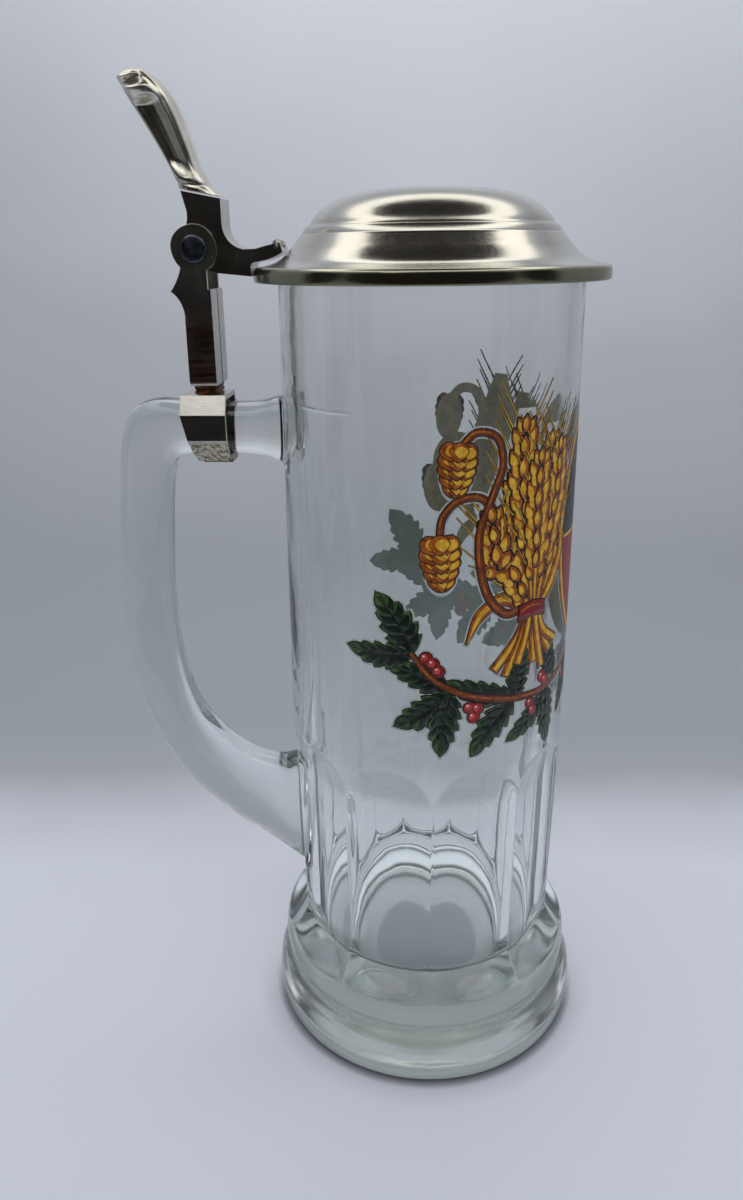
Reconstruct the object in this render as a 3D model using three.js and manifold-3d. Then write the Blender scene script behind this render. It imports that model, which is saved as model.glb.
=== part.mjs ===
// Lidded glass beer stein, 0.3 litre, with a hinged metal lid.
// Millimetres, +Z up. The origin is the centre of the foot's underside, the glass
// body stands on the Z axis, the handle points along -X and the hinge pin lies along Y.

import * as THREE from 'three';
import { mergeVertices } from 'three/addons/utils/BufferGeometryUtils.js';
import Module from 'manifold-3d';

const wasm = await Module();
wasm.setup();

// ---- driving dimensions -------------------------------------------------------------

const GAP = 0.3; // clearance wherever two pieces meet

// glass body
const GLASS_TOP = 176.4;
const FOOT_RADIUS = 37.6;
const WALL_RADIUS_LOW = 31.5; // outside of the wall, round the panels
const WALL_RADIUS_TOP = 30.8;
const BORE_RADIUS_TOP = 28.0;
const BORE_RADIUS_LOW = 26.4;
const FLOOR_Z = 21.5; // inside of the cup
const COLLAR_RADIUS = 35.2; // round collar that the wall sweeps out to, above the foot
const COLLAR_Z = 20.5;
const CORNER_SWEEP_Z = 28.4; // where the sweep starts at the panels' corners
const FLAT_SWEEP_Z = 25.4; // where it starts in the middle of a flat
const PANELS = 10;
const PANEL_TURN = THREE.MathUtils.degToRad(3.1); // first corner, measured from -Y
const PANEL_LOW_Z = 23.3;
const PANEL_APOTHEM = 29.25; // panel flats at their lower end
const PANEL_SPRING_Z = 68; // where the round arches over the flats begin
const ARCH_RADIUS = 9.7; // measured round the wall
const GLASS_SEGMENTS = 8 * PANELS;

// glass handle
const HANDLE_HALF_DEPTH = 5.3; // along Y
const HANDLE_SECTION_POWER = 2.7; // superellipse power of its section
const HANDLE_SIDES = 16;
const HANDLE_STEPS = 46;

// lid
const LID_RADIUS = 35.5;
const LID_EDGE_Z = 174.4;
const LID_TOP_Z = 191.3;
const LID_SHOULDER_Z = 184.8; // the small step between the dome and the skirt
const LID_SHEET = 0.9;
const LID_SEGMENTS = 48;

// hinge
const PIN_X = -46.7;
const PIN_Z = 180.8;
const PIN_RADIUS = 1.8;
const PIN_CLEARANCE = 0.15;
const RIVET_HEAD_RADIUS = 2.6;
const RIVET_HEAD_HEIGHT = 0.45;
const EAR_RADIUS = 4.6;
const BRACKET_HALF_WIDTH = 4.2;

// shank, a folded channel open towards the grip
const SHANK_HALF_WIDTH = 5.6;
const SHANK_SHEET = 1.1;
const SHANK_BACK_X = -49.6;
const SHANK_FRONT_X = -43.9;
const SHANK_BOTTOM_Z = 154.2;
const WEB_TOP_Z = 173.2;

// clamp round the handle's arm
const CLAMP_SHEET = 1.0;
const CLAMP_TOP_Z = 152.2;
const CLAMP_BOTTOM_Z = 138.2;
const CLAMP_FRONT_X = -42.5;
const CLAMP_BACK_X = -52.0;
const CLAMP_HALF_DEPTH = 6.6;

const ROUND_STEPS = 24; // sides of pins, ears and their holes

// ---- helpers ------------------------------------------------------------------------

function toSolid(geometry) {
  const bare = geometry.clone();
  bare.deleteAttribute('normal');
  bare.deleteAttribute('uv');
  const welded = mergeVertices(bare.index ? bare.toNonIndexed() : bare, 1e-4);
  return new wasm.Manifold(new wasm.Mesh({
    numProp: 3,
    vertProperties: new Float32Array(welded.attributes.position.array),
    triVerts: new Uint32Array(welded.index.array),
  }));
}

function toGeometry(solid) {
  const mesh = solid.getMesh();
  const geometry = new THREE.BufferGeometry();
  geometry.setAttribute('position', new THREE.BufferAttribute(new Float32Array(mesh.vertProperties), 3));
  geometry.setIndex(new THREE.BufferAttribute(new Uint32Array(mesh.triVerts), 1));
  geometry.computeVertexNormals();
  return geometry;
}

// Closed body through a row of rings with the same number of points each.
function loft(rings) {
  const sides = rings[0].length;
  const positions = [];
  const index = [];
  for (const ring of rings) {
    for (const point of ring) positions.push(point.x, point.y, point.z);
  }
  for (let r = 0; r < rings.length - 1; r += 1) {
    for (let s = 0; s < sides; s += 1) {
      const a = r * sides + s;
      const b = r * sides + (s + 1) % sides;
      index.push(a, b, b + sides, a, b + sides, a + sides);
    }
  }
  for (const [start, flip] of [[0, true], [(rings.length - 1) * sides, false]]) {
    const centre = new THREE.Vector3();
    for (const point of rings[start / sides]) centre.addScaledVector(point, 1 / sides);
    const hub = positions.length / 3;
    positions.push(centre.x, centre.y, centre.z);
    for (let s = 0; s < sides; s += 1) {
      const a = start + s;
      const b = start + (s + 1) % sides;
      index.push(hub, flip ? b : a, flip ? a : b);
    }
  }
  const geometry = new THREE.BufferGeometry();
  geometry.setAttribute('position', new THREE.Float32BufferAttribute(positions, 3));
  geometry.setIndex(index);
  return geometry;
}

// Plate whose outline is drawn in the XZ plane, lying between two values of Y.
function plateXZ(shape, yLow, yHigh) {
  const geometry = new THREE.ExtrudeGeometry(shape, {
    depth: yHigh - yLow, bevelEnabled: false, curveSegments: ROUND_STEPS,
  });
  geometry.rotateX(Math.PI / 2);
  geometry.translate(0, yHigh, 0);
  return geometry;
}

function pinHole(radius) {
  return new THREE.Path().absarc(PIN_X, PIN_Z, radius, 0, 2 * Math.PI, true);
}

// Revolved body about Z from [radius, z] points.
function revolve(profile, segments, start = 0) {
  const points = profile.map(([radius, z]) => new THREE.Vector2(radius, z));
  return new THREE.LatheGeometry(points, segments, start).rotateX(Math.PI / 2);
}

function superellipsePoint(angle, power) {
  const c = Math.cos(angle);
  const s = Math.sin(angle);
  return [
    Math.sign(c) * Math.abs(c) ** (2 / power),
    Math.sign(s) * Math.abs(s) ** (2 / power),
  ];
}

// Points of a smooth curve through [radius, z] control points.
function smoothProfile(controls, steps) {
  const curve = new THREE.SplineCurve(controls.map(([r, z]) => new THREE.Vector2(r, z)));
  return curve.getPoints(steps).map((point) => [point.x, point.y]);
}

// Quarter round from one [radius, z] point to another, bulging towards the corner.
function corner(from, via, to, steps = 3) {
  const curve = new THREE.QuadraticBezierCurve(
    new THREE.Vector2(...from), new THREE.Vector2(...via), new THREE.Vector2(...to));
  return curve.getPoints(steps).map((point) => [point.x, point.y]);
}

// ---- glass body ---------------------------------------------------------------------

// Distance of a flat from the axis. It leans out evenly up to the arches' springing.
function panelApothem(z) {
  const spring = WALL_RADIUS_LOW * Math.cos(ARCH_RADIUS / WALL_RADIUS_LOW);
  if (z < PANEL_SPRING_Z) {
    const share = (z - PANEL_LOW_Z) / (PANEL_SPRING_Z - PANEL_LOW_Z);
    return PANEL_APOTHEM + (spring - PANEL_APOTHEM) * share;
  }
  const rise = Math.min(z - PANEL_SPRING_Z, ARCH_RADIUS);
  const halfWidth = Math.sqrt(ARCH_RADIUS ** 2 - rise ** 2);
  return WALL_RADIUS_LOW * Math.cos(halfWidth / WALL_RADIUS_LOW);
}

// Radius of the panelled wall. At its lower end it sweeps out to the round collar, from
// higher up at the corners than in the middle of the flats.
function panelledRadius(angle, z) {
  const step = 2 * Math.PI / PANELS;
  const turned = angle - PANEL_TURN;
  const offCentre = turned - step * (Math.floor(turned / step) + 0.5);
  const flat = Math.min(WALL_RADIUS_LOW, panelApothem(z) / Math.cos(offCentre));
  const corner = Math.abs(offCentre) / (step / 2);
  const start = FLAT_SWEEP_Z + (CORNER_SWEEP_Z - FLAT_SWEEP_Z) * corner ** 3;
  const fall = THREE.MathUtils.clamp((start - z) / (start - COLLAR_Z), 0, 1);
  const sweep = 0.45 * fall + 0.55 * THREE.MathUtils.smoothstep(fall, 0, 1);
  return flat + (COLLAR_RADIUS - flat) * sweep;
}

function cutPanels(geometry, grow) {
  const position = geometry.attributes.position;
  for (let i = 0; i < position.count; i += 1) {
    const x = position.getX(i);
    const y = position.getY(i);
    const z = position.getZ(i);
    const radius = Math.hypot(x, y);
    const inside = radius < PANEL_APOTHEM - 0.5;
    if (z < COLLAR_Z - 0.01 || z > PANEL_SPRING_Z + ARCH_RADIUS || inside) continue;
    const wanted = panelledRadius(Math.atan2(x, -y), z) + grow;
    position.setX(i, x * wanted / radius);
    position.setY(i, y * wanted / radius);
  }
  return geometry;
}

function outerGlassProfile(grow) {
  const wallTop = WALL_RADIUS_TOP + grow;
  const wallLow = WALL_RADIUS_LOW + grow;
  const panelHeights = [
    COLLAR_Z, 21.7, 23, 24.3, 25.4, 26.6, 28.4, 40, 54,
    ...[0, 0.3, 0.58, 0.8, 0.93, 1].map((share) => PANEL_SPRING_Z + ARCH_RADIUS * share),
  ];
  return [
    ...corner([FOOT_RADIUS - 1.6, 0], [FOOT_RADIUS - 0.3, 0], [FOOT_RADIUS, 4]),
    [FOOT_RADIUS - 0.1, 7.5],
    [FOOT_RADIUS - 0.8, 10.6],
    [COLLAR_RADIUS + 0.3, 12.5],
    [COLLAR_RADIUS - 0.1, 13.6],
    [COLLAR_RADIUS + 0.3, 16.5],
    ...panelHeights.map((z) => [wallLow, z]),
    [wallLow - 0.1, 100],
    [(wallLow + wallTop) / 2, 140],
    [wallTop, GLASS_TOP - 1.6],
  ];
}

function makeGlassBody() {
  const boreLow = [BORE_RADIUS_LOW, FLOOR_Z + 9];
  const floorEdge = [BORE_RADIUS_LOW - 8, FLOOR_Z];
  const rim = [(WALL_RADIUS_TOP + BORE_RADIUS_TOP) / 2, GLASS_TOP];
  const rimInner = [rim[0] - 0.3, GLASS_TOP];
  const lip = [BORE_RADIUS_TOP, GLASS_TOP - 1.4];
  const profile = [
    [0, 0],
    ...outerGlassProfile(0),
    ...corner([WALL_RADIUS_TOP - 0.1, GLASS_TOP - 1], [WALL_RADIUS_TOP - 0.2, GLASS_TOP], rim),
    ...corner(rimInner, [BORE_RADIUS_TOP, GLASS_TOP], lip),
    [BORE_RADIUS_TOP, 150],
    [(BORE_RADIUS_TOP + BORE_RADIUS_LOW) / 2, 90],
    ...corner(boreLow, [BORE_RADIUS_LOW - 0.3, FLOOR_Z], floorEdge, 5),
    [0, FLOOR_Z],
  ];
  return cutPanels(revolve(profile, GLASS_SEGMENTS, PANEL_TURN), 0);
}

// Solid outer shape of the glass, grown by the clearance, which trims the handle's ends.
function glassEnvelope() {
  const outer = outerGlassProfile(GAP);
  const profile = [[0, 0], ...outer, [0, GLASS_TOP - 1.6]];
  return toSolid(cutPanels(revolve(profile, GLASS_SEGMENTS, PANEL_TURN), GAP));
}

// ---- glass handle -------------------------------------------------------------------

// Sections from the upper joint to the lower one: outer [x, z], inner [x, z], half depth.
const HANDLE_SECTIONS = [
  [[-27.0, 152.6], [-27.0, 136.6], 6.6],
  [[-31.8, 151.6], [-31.8, 137.7], 6.1],
  [[-36.0, 150.5], [-36.0, 139.1], HANDLE_HALF_DEPTH],
  [[-44.0, 150.4], [-43.6, 139.6], HANDLE_HALF_DEPTH],
  [[-51.0, 150.5], [-49.8, 139.6], HANDLE_HALF_DEPTH],
  [[-58.3, 151.1], [-53.4, 139.0], HANDLE_HALF_DEPTH],
  [[-63.7, 148.6], [-55.0, 137.6], HANDLE_HALF_DEPTH],
  [[-66.6, 141.8], [-55.7, 135.2], HANDLE_HALF_DEPTH],
  [[-67.8, 132.5], [-56.5, 131.2], HANDLE_HALF_DEPTH],
  [[-69.2, 120.0], [-57.5, 120.0], HANDLE_HALF_DEPTH],
  [[-70.4, 103.0], [-58.3, 105.0], HANDLE_HALF_DEPTH],
  [[-69.6, 87.5], [-57.4, 90.0], HANDLE_HALF_DEPTH],
  [[-65.8, 73.6], [-54.6, 79.0], HANDLE_HALF_DEPTH],
  [[-58.6, 59.4], [-49.2, 71.3], HANDLE_HALF_DEPTH],
  [[-48.0, 48.6], [-42.4, 66.0], HANDLE_HALF_DEPTH],
  [[-37.6, 41.2], [-35.4, 64.0], 5.6],
  [[-31.6, 36.4], [-31.0, 65.2], 6.4],
  [[-26.5, 32.0], [-26.5, 67.0], 7.2],
];

function makeGlassHandle() {
  const outer = new THREE.CatmullRomCurve3(
    HANDLE_SECTIONS.map(([[x, z]]) => new THREE.Vector3(x, 0, z)), false, 'centripetal');
  const inner = new THREE.CatmullRomCurve3(
    HANDLE_SECTIONS.map(([, [x, z]]) => new THREE.Vector3(x, 0, z)), false, 'centripetal');
  const depth = new THREE.CatmullRomCurve3(
    HANDLE_SECTIONS.map(([, , half], i) => new THREE.Vector3(i, half, 0)), false, 'centripetal');
  const rings = [];
  for (let i = 0; i <= HANDLE_STEPS; i += 1) {
    const t = i / HANDLE_STEPS;
    const a = outer.getPoint(t);
    const b = inner.getPoint(t);
    const centre = a.clone().add(b).multiplyScalar(0.5);
    const radial = a.clone().sub(b).multiplyScalar(0.5);
    const halfDepth = depth.getPoint(t).y;
    const ring = [];
    for (let s = 0; s < HANDLE_SIDES; s += 1) {
      const [across, along] = superellipsePoint(-2 * Math.PI * s / HANDLE_SIDES, HANDLE_SECTION_POWER);
      const point = centre.clone().addScaledVector(radial, along);
      point.y += across * halfDepth;
      ring.push(point);
    }
    rings.push(ring);
  }
  const whole = toSolid(loft(rings));
  return toGeometry(whole.subtract(glassEnvelope()));
}

// ---- lid ----------------------------------------------------------------------------

// Outer half-section from the crown to the rim: a dome, a small shoulder and a flared skirt.
function lidOuterProfile() {
  return [
    ...smoothProfile([
      [0, LID_TOP_Z], [9, LID_TOP_Z - 0.15], [14.5, LID_TOP_Z - 0.8], [19.2, LID_TOP_Z - 2.4],
      [22.4, LID_TOP_Z - 4.5], [24.2, LID_SHOULDER_Z],
    ], 9),
    ...smoothProfile([
      [25.4, LID_SHOULDER_Z - 1.0], [26.6, LID_SHOULDER_Z - 2.9], [28.0, LID_SHOULDER_Z - 5.0],
      [30.6, LID_SHOULDER_Z - 6.7], [LID_RADIUS - 1.2, LID_SHOULDER_Z - 7.5],
    ], 7),
    [LID_RADIUS - 0.3, LID_SHOULDER_Z - 7.9],
    [LID_RADIUS, LID_SHOULDER_Z - 8.5],
  ];
}

// The same profile moved inwards by the sheet's thickness.
function offsetProfile(profile, distance) {
  return profile.map(([radius, z], i) => {
    const before = profile[Math.max(i - 1, 0)];
    const after = profile[Math.min(i + 1, profile.length - 1)];
    const dr = after[0] - before[0];
    const dz = after[1] - before[1];
    const length = Math.hypot(dr, dz);
    if (i === 0) return [0, z - distance];
    return [radius + distance * dz / length, z - distance * dr / length];
  });
}

function makeLid() {
  const outer = lidOuterProfile();
  const inner = offsetProfile(outer, LID_SHEET);
  const profile = [
    ...inner,
    [LID_RADIUS - LID_SHEET, LID_EDGE_Z + 0.3],
    [LID_RADIUS - LID_SHEET + 0.2, LID_EDGE_Z],
    [LID_RADIUS - 0.2, LID_EDGE_Z],
    [LID_RADIUS, LID_EDGE_Z + 0.3],
    ...outer.reverse(),
  ];
  return revolve(profile, LID_SEGMENTS);
}

// ---- lid bracket with its knuckle and tongue ------------------------------------------

function makeBracket() {
  const knuckle = EAR_RADIUS - 0.2;
  const shape = new THREE.Shape();
  shape.moveTo(-48.8, 191.4);
  shape.lineTo(-47.9, 187.8);
  shape.quadraticCurveTo(-47.7, 186.4, PIN_X - 1.6, PIN_Z + Math.sqrt(knuckle ** 2 - 1.6 ** 2));
  const start = Math.atan2(Math.sqrt(knuckle ** 2 - 1.6 ** 2), -1.6);
  shape.absarc(PIN_X, PIN_Z, knuckle, start, 1.5 * Math.PI + 0.5, false);
  shape.lineTo(-42.6, 176.2);
  shape.lineTo(-LID_RADIUS - 0.35, 175.5);
  shape.lineTo(-LID_RADIUS - 0.35, 177.3);
  shape.quadraticCurveTo(-LID_RADIUS - 0.2, 178.3, -34.2, 178.3);
  shape.quadraticCurveTo(-31.6, 178.6, -29.3, 180.0);
  shape.lineTo(-29.8, 181.8);
  shape.quadraticCurveTo(-33.0, 181.2, -34.6, 180.7);
  shape.lineTo(-37.0, 180.6);
  shape.bezierCurveTo(-39.6, 181.0, -41.3, 183.2, -41.1, 186.0);
  shape.lineTo(-41.1, 189.9);
  shape.closePath();
  shape.holes.push(pinHole(PIN_RADIUS + PIN_CLEARANCE));
  return plateXZ(shape, -BRACKET_HALF_WIDTH, BRACKET_HALF_WIDTH);
}

// ---- thumb-lift -----------------------------------------------------------------------

// Sections from the foot to the tip: back [x, z], front [x, z], half width along Y.
const THUMB_SECTIONS = [
  [[-49.7, 191.9], [-41.4, 190.3], 4.2],
  [[-50.1, 193.2], [-43.4, 192.4], 4.2],
  [[-51.5, 196.4], [-45.7, 196.0], 4.5],
  [[-52.9, 199.1], [-46.7, 199.1], 4.9],
  [[-54.3, 201.6], [-47.6, 202.1], 5.3],
  [[-55.7, 204.0], [-48.6, 205.1], 5.7],
  [[-57.2, 206.4], [-49.9, 207.9], 5.9],
  [[-58.5, 208.7], [-51.8, 210.3], 5.7],
  [[-59.5, 210.5], [-54.2, 212.2], 5.0],
  [[-59.9, 211.4], [-57.0, 213.0], 3.4],
];

function makeThumbLift() {
  const sides = 16;
  const rings = THUMB_SECTIONS.map(([back, front, halfWidth]) => {
    const centre = [(back[0] + front[0]) / 2, (back[1] + front[1]) / 2];
    const reach = [(front[0] - back[0]) / 2, (front[1] - back[1]) / 2];
    const ring = [];
    for (let s = 0; s < sides; s += 1) {
      const [along, across] = superellipsePoint(2 * Math.PI * s / sides, 3);
      ring.push(new THREE.Vector3(
        centre[0] + reach[0] * along, across * halfWidth, centre[1] + reach[1] * along));
    }
    return ring;
  });
  return loft(rings);
}

// ---- hinge rivet ------------------------------------------------------------------------

function makeRivet() {
  const neck = SHANK_HALF_WIDTH + GAP;
  const profile = [
    [0, -neck - RIVET_HEAD_HEIGHT],
    [RIVET_HEAD_RADIUS - 0.3, -neck - RIVET_HEAD_HEIGHT],
    [RIVET_HEAD_RADIUS, -neck - RIVET_HEAD_HEIGHT + 0.2],
    [RIVET_HEAD_RADIUS, -neck],
    [PIN_RADIUS, -neck],
    [PIN_RADIUS, neck],
    [RIVET_HEAD_RADIUS, neck],
    [RIVET_HEAD_RADIUS, neck + RIVET_HEAD_HEIGHT - 0.2],
    [RIVET_HEAD_RADIUS - 0.3, neck + RIVET_HEAD_HEIGHT],
    [0, neck + RIVET_HEAD_HEIGHT],
  ];
  return revolve(profile, ROUND_STEPS).rotateX(Math.PI / 2);
}

// ---- shank: two cheeks with ears, joined by a web that faces the lid --------------------

function cheekShape() {
  const shape = new THREE.Shape();
  const earLeft = 1.5 * Math.PI - 0.72;
  const earRight = 1.5 * Math.PI + 0.5;
  shape.moveTo(SHANK_FRONT_X, SHANK_BOTTOM_Z);
  shape.lineTo(SHANK_FRONT_X, WEB_TOP_Z);
  shape.lineTo(-44.5, WEB_TOP_Z);
  shape.lineTo(PIN_X + EAR_RADIUS * Math.cos(earRight), PIN_Z + EAR_RADIUS * Math.sin(earRight));
  shape.absarc(PIN_X, PIN_Z, EAR_RADIUS, earRight, earLeft, false);
  shape.quadraticCurveTo(-50.2, 175.2, -52.0, 172.8);
  shape.quadraticCurveTo(-50.0, 171.4, SHANK_BACK_X + 0.1, 168.6);
  shape.lineTo(SHANK_BACK_X, SHANK_BOTTOM_Z);
  shape.closePath();
  shape.holes.push(pinHole(PIN_RADIUS + PIN_CLEARANCE));
  return shape;
}

function makeShank() {
  const inside = SHANK_HALF_WIDTH - SHANK_SHEET;
  const webThickness = SHANK_SHEET;
  const web = new THREE.BoxGeometry(webThickness, 2 * inside + 0.2, WEB_TOP_Z - SHANK_BOTTOM_Z);
  web.translate(SHANK_FRONT_X - webThickness / 2, 0, (WEB_TOP_Z + SHANK_BOTTOM_Z) / 2);
  const near = toSolid(plateXZ(cheekShape(), -SHANK_HALF_WIDTH, -inside));
  const far = toSolid(plateXZ(cheekShape(), inside, SHANK_HALF_WIDTH));
  return toGeometry(near.add(far).add(toSolid(web)));
}

// Brazed foot between the shank and the clamp.
function makeBrazedFoot() {
  const low = CLAMP_TOP_Z + GAP;
  const high = SHANK_BOTTOM_Z - GAP;
  const length = SHANK_FRONT_X - SHANK_BACK_X - 0.8;
  const foot = new THREE.BoxGeometry(length, 2 * SHANK_HALF_WIDTH - 1.0, high - low);
  return foot.translate((SHANK_FRONT_X + SHANK_BACK_X) / 2, 0, (low + high) / 2);
}

// ---- clamp ------------------------------------------------------------------------------

// Loop of the band round the arm, in the YZ plane, drawn inset by a distance. The far
// end of the band laps under the near end, so the far half of its underside sits lower.
function clampLoop(inset, lap) {
  const top = CLAMP_TOP_Z - inset;
  const bottom = CLAMP_BOTTOM_Z + inset;
  const side = CLAMP_HALF_DEPTH - inset;
  const topHalf = 4.9 - 0.8 * inset;
  const bottomHalf = 3.9 - 0.7 * inset;
  return [
    [-topHalf, top], [-side, 148.3], [-side, 143.0], [-bottomHalf, bottom],
    [-1.2, bottom], [-1.2, bottom - lap], [bottomHalf + 0.3, bottom - lap],
    [side, 143.0 - lap / 2], [side, 148.3], [topHalf, top],
  ];
}

function makeClamp() {
  const shape = new THREE.Shape(clampLoop(0, 0.8).map(([y, z]) => new THREE.Vector2(y, z)));
  shape.holes.push(new THREE.Path(clampLoop(CLAMP_SHEET, 0.01).map(([y, z]) => new THREE.Vector2(y, z))));
  const width = CLAMP_FRONT_X - CLAMP_BACK_X;
  const band = new THREE.ExtrudeGeometry(shape, { depth: width, bevelEnabled: false });
  band.rotateZ(Math.PI / 2);
  band.rotateY(Math.PI / 2);
  band.translate(CLAMP_BACK_X, 0, 0);
  return band;
}

// The lower half of the band is cut on a slant on the grip's side.
function slantClamp(band) {
  const cutShape = new THREE.Shape();
  cutShape.moveTo(CLAMP_BACK_X - 1, 148.0);
  cutShape.lineTo(CLAMP_BACK_X, 148.0);
  cutShape.lineTo(-50.2, 140.2);
  cutShape.quadraticCurveTo(-49.4, 138.4, -48.2, CLAMP_BOTTOM_Z - 2);
  cutShape.lineTo(CLAMP_BACK_X - 1, CLAMP_BOTTOM_Z - 2);
  cutShape.closePath();
  const cutter = plateXZ(cutShape, -CLAMP_HALF_DEPTH - 1, CLAMP_HALF_DEPTH + 1);
  return toGeometry(toSolid(band).subtract(toSolid(cutter)));
}

// ---- assembly ---------------------------------------------------------------------------

const glass = new THREE.MeshStandardMaterial({
  color: 0xe6eeea, roughness: 0.03, metalness: 0, transparent: true, opacity: 0.35,
});
const lidMetal = new THREE.MeshStandardMaterial({ color: 0xb9b6ad, roughness: 0.33, metalness: 1 });
const mountMetal = new THREE.MeshStandardMaterial({ color: 0xa39f95, roughness: 0.18, metalness: 1 });
const braze = new THREE.MeshStandardMaterial({ color: 0x5a3a26, roughness: 0.55, metalness: 1 });

const stein = new THREE.Group();

function addPart(name, geometry, material) {
  const mesh = new THREE.Mesh(geometry, material);
  mesh.name = name;
  stein.add(mesh);
  return mesh;
}

addPart('glass_body', makeGlassBody(), glass);
addPart('glass_handle', makeGlassHandle(), glass);
addPart('lid_shell', makeLid(), lidMetal);
addPart('lid_bracket', makeBracket(), mountMetal);
addPart('thumb_lift', makeThumbLift(), mountMetal);
addPart('shank', makeShank(), mountMetal);
addPart('brazed_foot', makeBrazedFoot(), braze);
addPart('handle_clamp', slantClamp(makeClamp()), mountMetal);
addPart('hinge_rivet', makeRivet(), mountMetal).position.set(PIN_X, 0, PIN_Z);

export default stein;
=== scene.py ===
"""Lidded glass beer stein: fine meshes, materials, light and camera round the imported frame."""

import math

import bmesh
import bpy
import numpy as np
from mathutils import Matrix, Vector, kdtree


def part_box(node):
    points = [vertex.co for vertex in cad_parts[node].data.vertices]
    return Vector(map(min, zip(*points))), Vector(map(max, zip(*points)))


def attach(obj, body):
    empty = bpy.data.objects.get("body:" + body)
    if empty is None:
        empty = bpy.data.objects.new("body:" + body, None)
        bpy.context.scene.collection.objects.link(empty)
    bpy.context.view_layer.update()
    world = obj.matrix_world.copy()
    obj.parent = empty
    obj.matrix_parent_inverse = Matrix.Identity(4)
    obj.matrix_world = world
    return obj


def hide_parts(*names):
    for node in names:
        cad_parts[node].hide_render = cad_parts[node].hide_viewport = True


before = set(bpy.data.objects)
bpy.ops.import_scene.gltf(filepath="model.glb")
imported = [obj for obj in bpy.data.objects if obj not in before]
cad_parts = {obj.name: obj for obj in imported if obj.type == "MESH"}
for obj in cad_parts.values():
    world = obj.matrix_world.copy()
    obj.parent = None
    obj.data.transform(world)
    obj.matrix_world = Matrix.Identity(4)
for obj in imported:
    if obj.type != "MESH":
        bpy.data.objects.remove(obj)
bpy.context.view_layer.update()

MM = 0.001

# ---- dimensions of the glass, in millimetres, as in the CAD part ----

GLASS_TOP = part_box("glass_body")[1].z / MM
FOOT_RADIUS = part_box("glass_body")[1].x / MM
WALL_RADIUS = 31.5
WALL_TAPER = 0.7
BORE_RADIUS = 28.0
FLOOR_Z = 21.5
UNDER_Z = 1.25
RIM_ROUND = 1.9
PANELS = 10
PANEL_TURN = math.radians(3.1)
PANEL_LOW_Z = 23.3
PANEL_APOTHEM = 29.25
PANEL_SPRING_Z = 68.0
ARCH_RADIUS = 9.7
CORNER_SWEEP_Z = 28.4
FLAT_SWEEP_Z = 25.4
COLLAR_Z = 20.5
COLLAR_RADIUS = 35.2
FILL_LINE_Z = 152.0
COLUMNS = 240

# ---- mesh helpers ----


def make_object(name, verts, faces):
    """Mesh object from points in millimetres."""
    mesh = bpy.data.meshes.new(name)
    mesh.from_pydata([Vector(v) * MM for v in verts], [], faces)
    mesh.validate()
    obj = bpy.data.objects.new(name, mesh)
    bpy.context.scene.collection.objects.link(obj)
    shade_smooth(obj)
    return obj


def shade_smooth(obj):
    obj.data.polygons.foreach_set("use_smooth", [True] * len(obj.data.polygons))


def dress(obj, *materials):
    obj.data.materials.clear()
    for material in materials:
        obj.data.materials.append(material)


def ring_faces(first, second, count):
    """Quads between two rings of points, given by the index of each ring's first point."""
    return [(first + i, first + (i + 1) % count, second + (i + 1) % count, second + i) for i in range(count)]


def outward(obj):
    bm = bmesh.new()
    bm.from_mesh(obj.data)
    bmesh.ops.recalc_face_normals(bm, faces=bm.faces)
    bm.to_mesh(obj.data)
    bm.free()


def circle(radius, z, segments):
    angles = [2 * math.pi * i / segments for i in range(segments)]
    return [(radius * math.cos(a), radius * math.sin(a), z) for a in angles]


def lathe(name, profile, segments, axis="z", centre=(0, 0, 0)):
    """Closed body turned from [radius, height] points that start and end on the axis."""
    verts, faces, rows = [], [], []
    for radius, height in profile:
        rows.append(len(verts))
        if radius == 0:
            verts.append((0, 0, height))
            continue
        verts += circle(radius, height, segments)
    for k in range(len(profile) - 1):
        for i in range(segments):
            j = (i + 1) % segments
            if profile[k][0] == 0:
                faces.append((rows[k], rows[k + 1] + j, rows[k + 1] + i))
            elif profile[k + 1][0] == 0:
                faces.append((rows[k] + i, rows[k] + j, rows[k + 1]))
            else:
                faces.append((rows[k] + i, rows[k] + j, rows[k + 1] + j, rows[k + 1] + i))
    if axis == "y":
        verts = [(x, z, y) for x, y, z in verts]
        faces = [tuple(reversed(face)) for face in faces]
    obj = make_object(name, [np.add(v, centre) for v in verts], faces)
    outward(obj)
    return obj


def tube(name, rings):
    """Closed body through rings of equally many points, with a flat cap at each end."""
    sides, last = len(rings[0]), len(rings) - 1
    faces = []
    for k in range(last):
        faces += ring_faces(k * sides, (k + 1) * sides, sides)
    faces.append(tuple(reversed(range(sides))))
    faces.append(tuple(range(last * sides, (last + 1) * sides)))
    obj = make_object(name, [point for ring in rings for point in ring], faces)
    outward(obj)
    return obj


def plate(name, outline, low_y, high_y):
    """Prism of an outline in the XZ plane."""
    return tube(name, [[(x, y, z) for x, z in outline] for y in (high_y, low_y)])


def squarish(angle, power):
    """Point of a unit circle pushed out towards a square."""
    return [math.copysign(abs(v) ** power, v) for v in (math.cos(angle), math.sin(angle))]


def carve(obj, tool, operation="DIFFERENCE"):
    cut = obj.modifiers.new("cut", "BOOLEAN")
    cut.operation = operation
    cut.solver = "EXACT"
    cut.object = tool
    graph = bpy.context.evaluated_depsgraph_get()
    obj.data = bpy.data.meshes.new_from_object(obj.evaluated_get(graph))
    obj.modifiers.clear()
    bpy.data.objects.remove(tool)


def round_edges(obj, width, segments=3, angle=28):
    bevel = obj.modifiers.new("edges", "BEVEL")
    bevel.width = width * MM
    bevel.segments = segments
    bevel.limit_method = "ANGLE"
    bevel.angle_limit = math.radians(angle)
    obj.modifiers.new("normals", "WEIGHTED_NORMAL").keep_sharp = True
    shade_smooth(obj)


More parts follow.
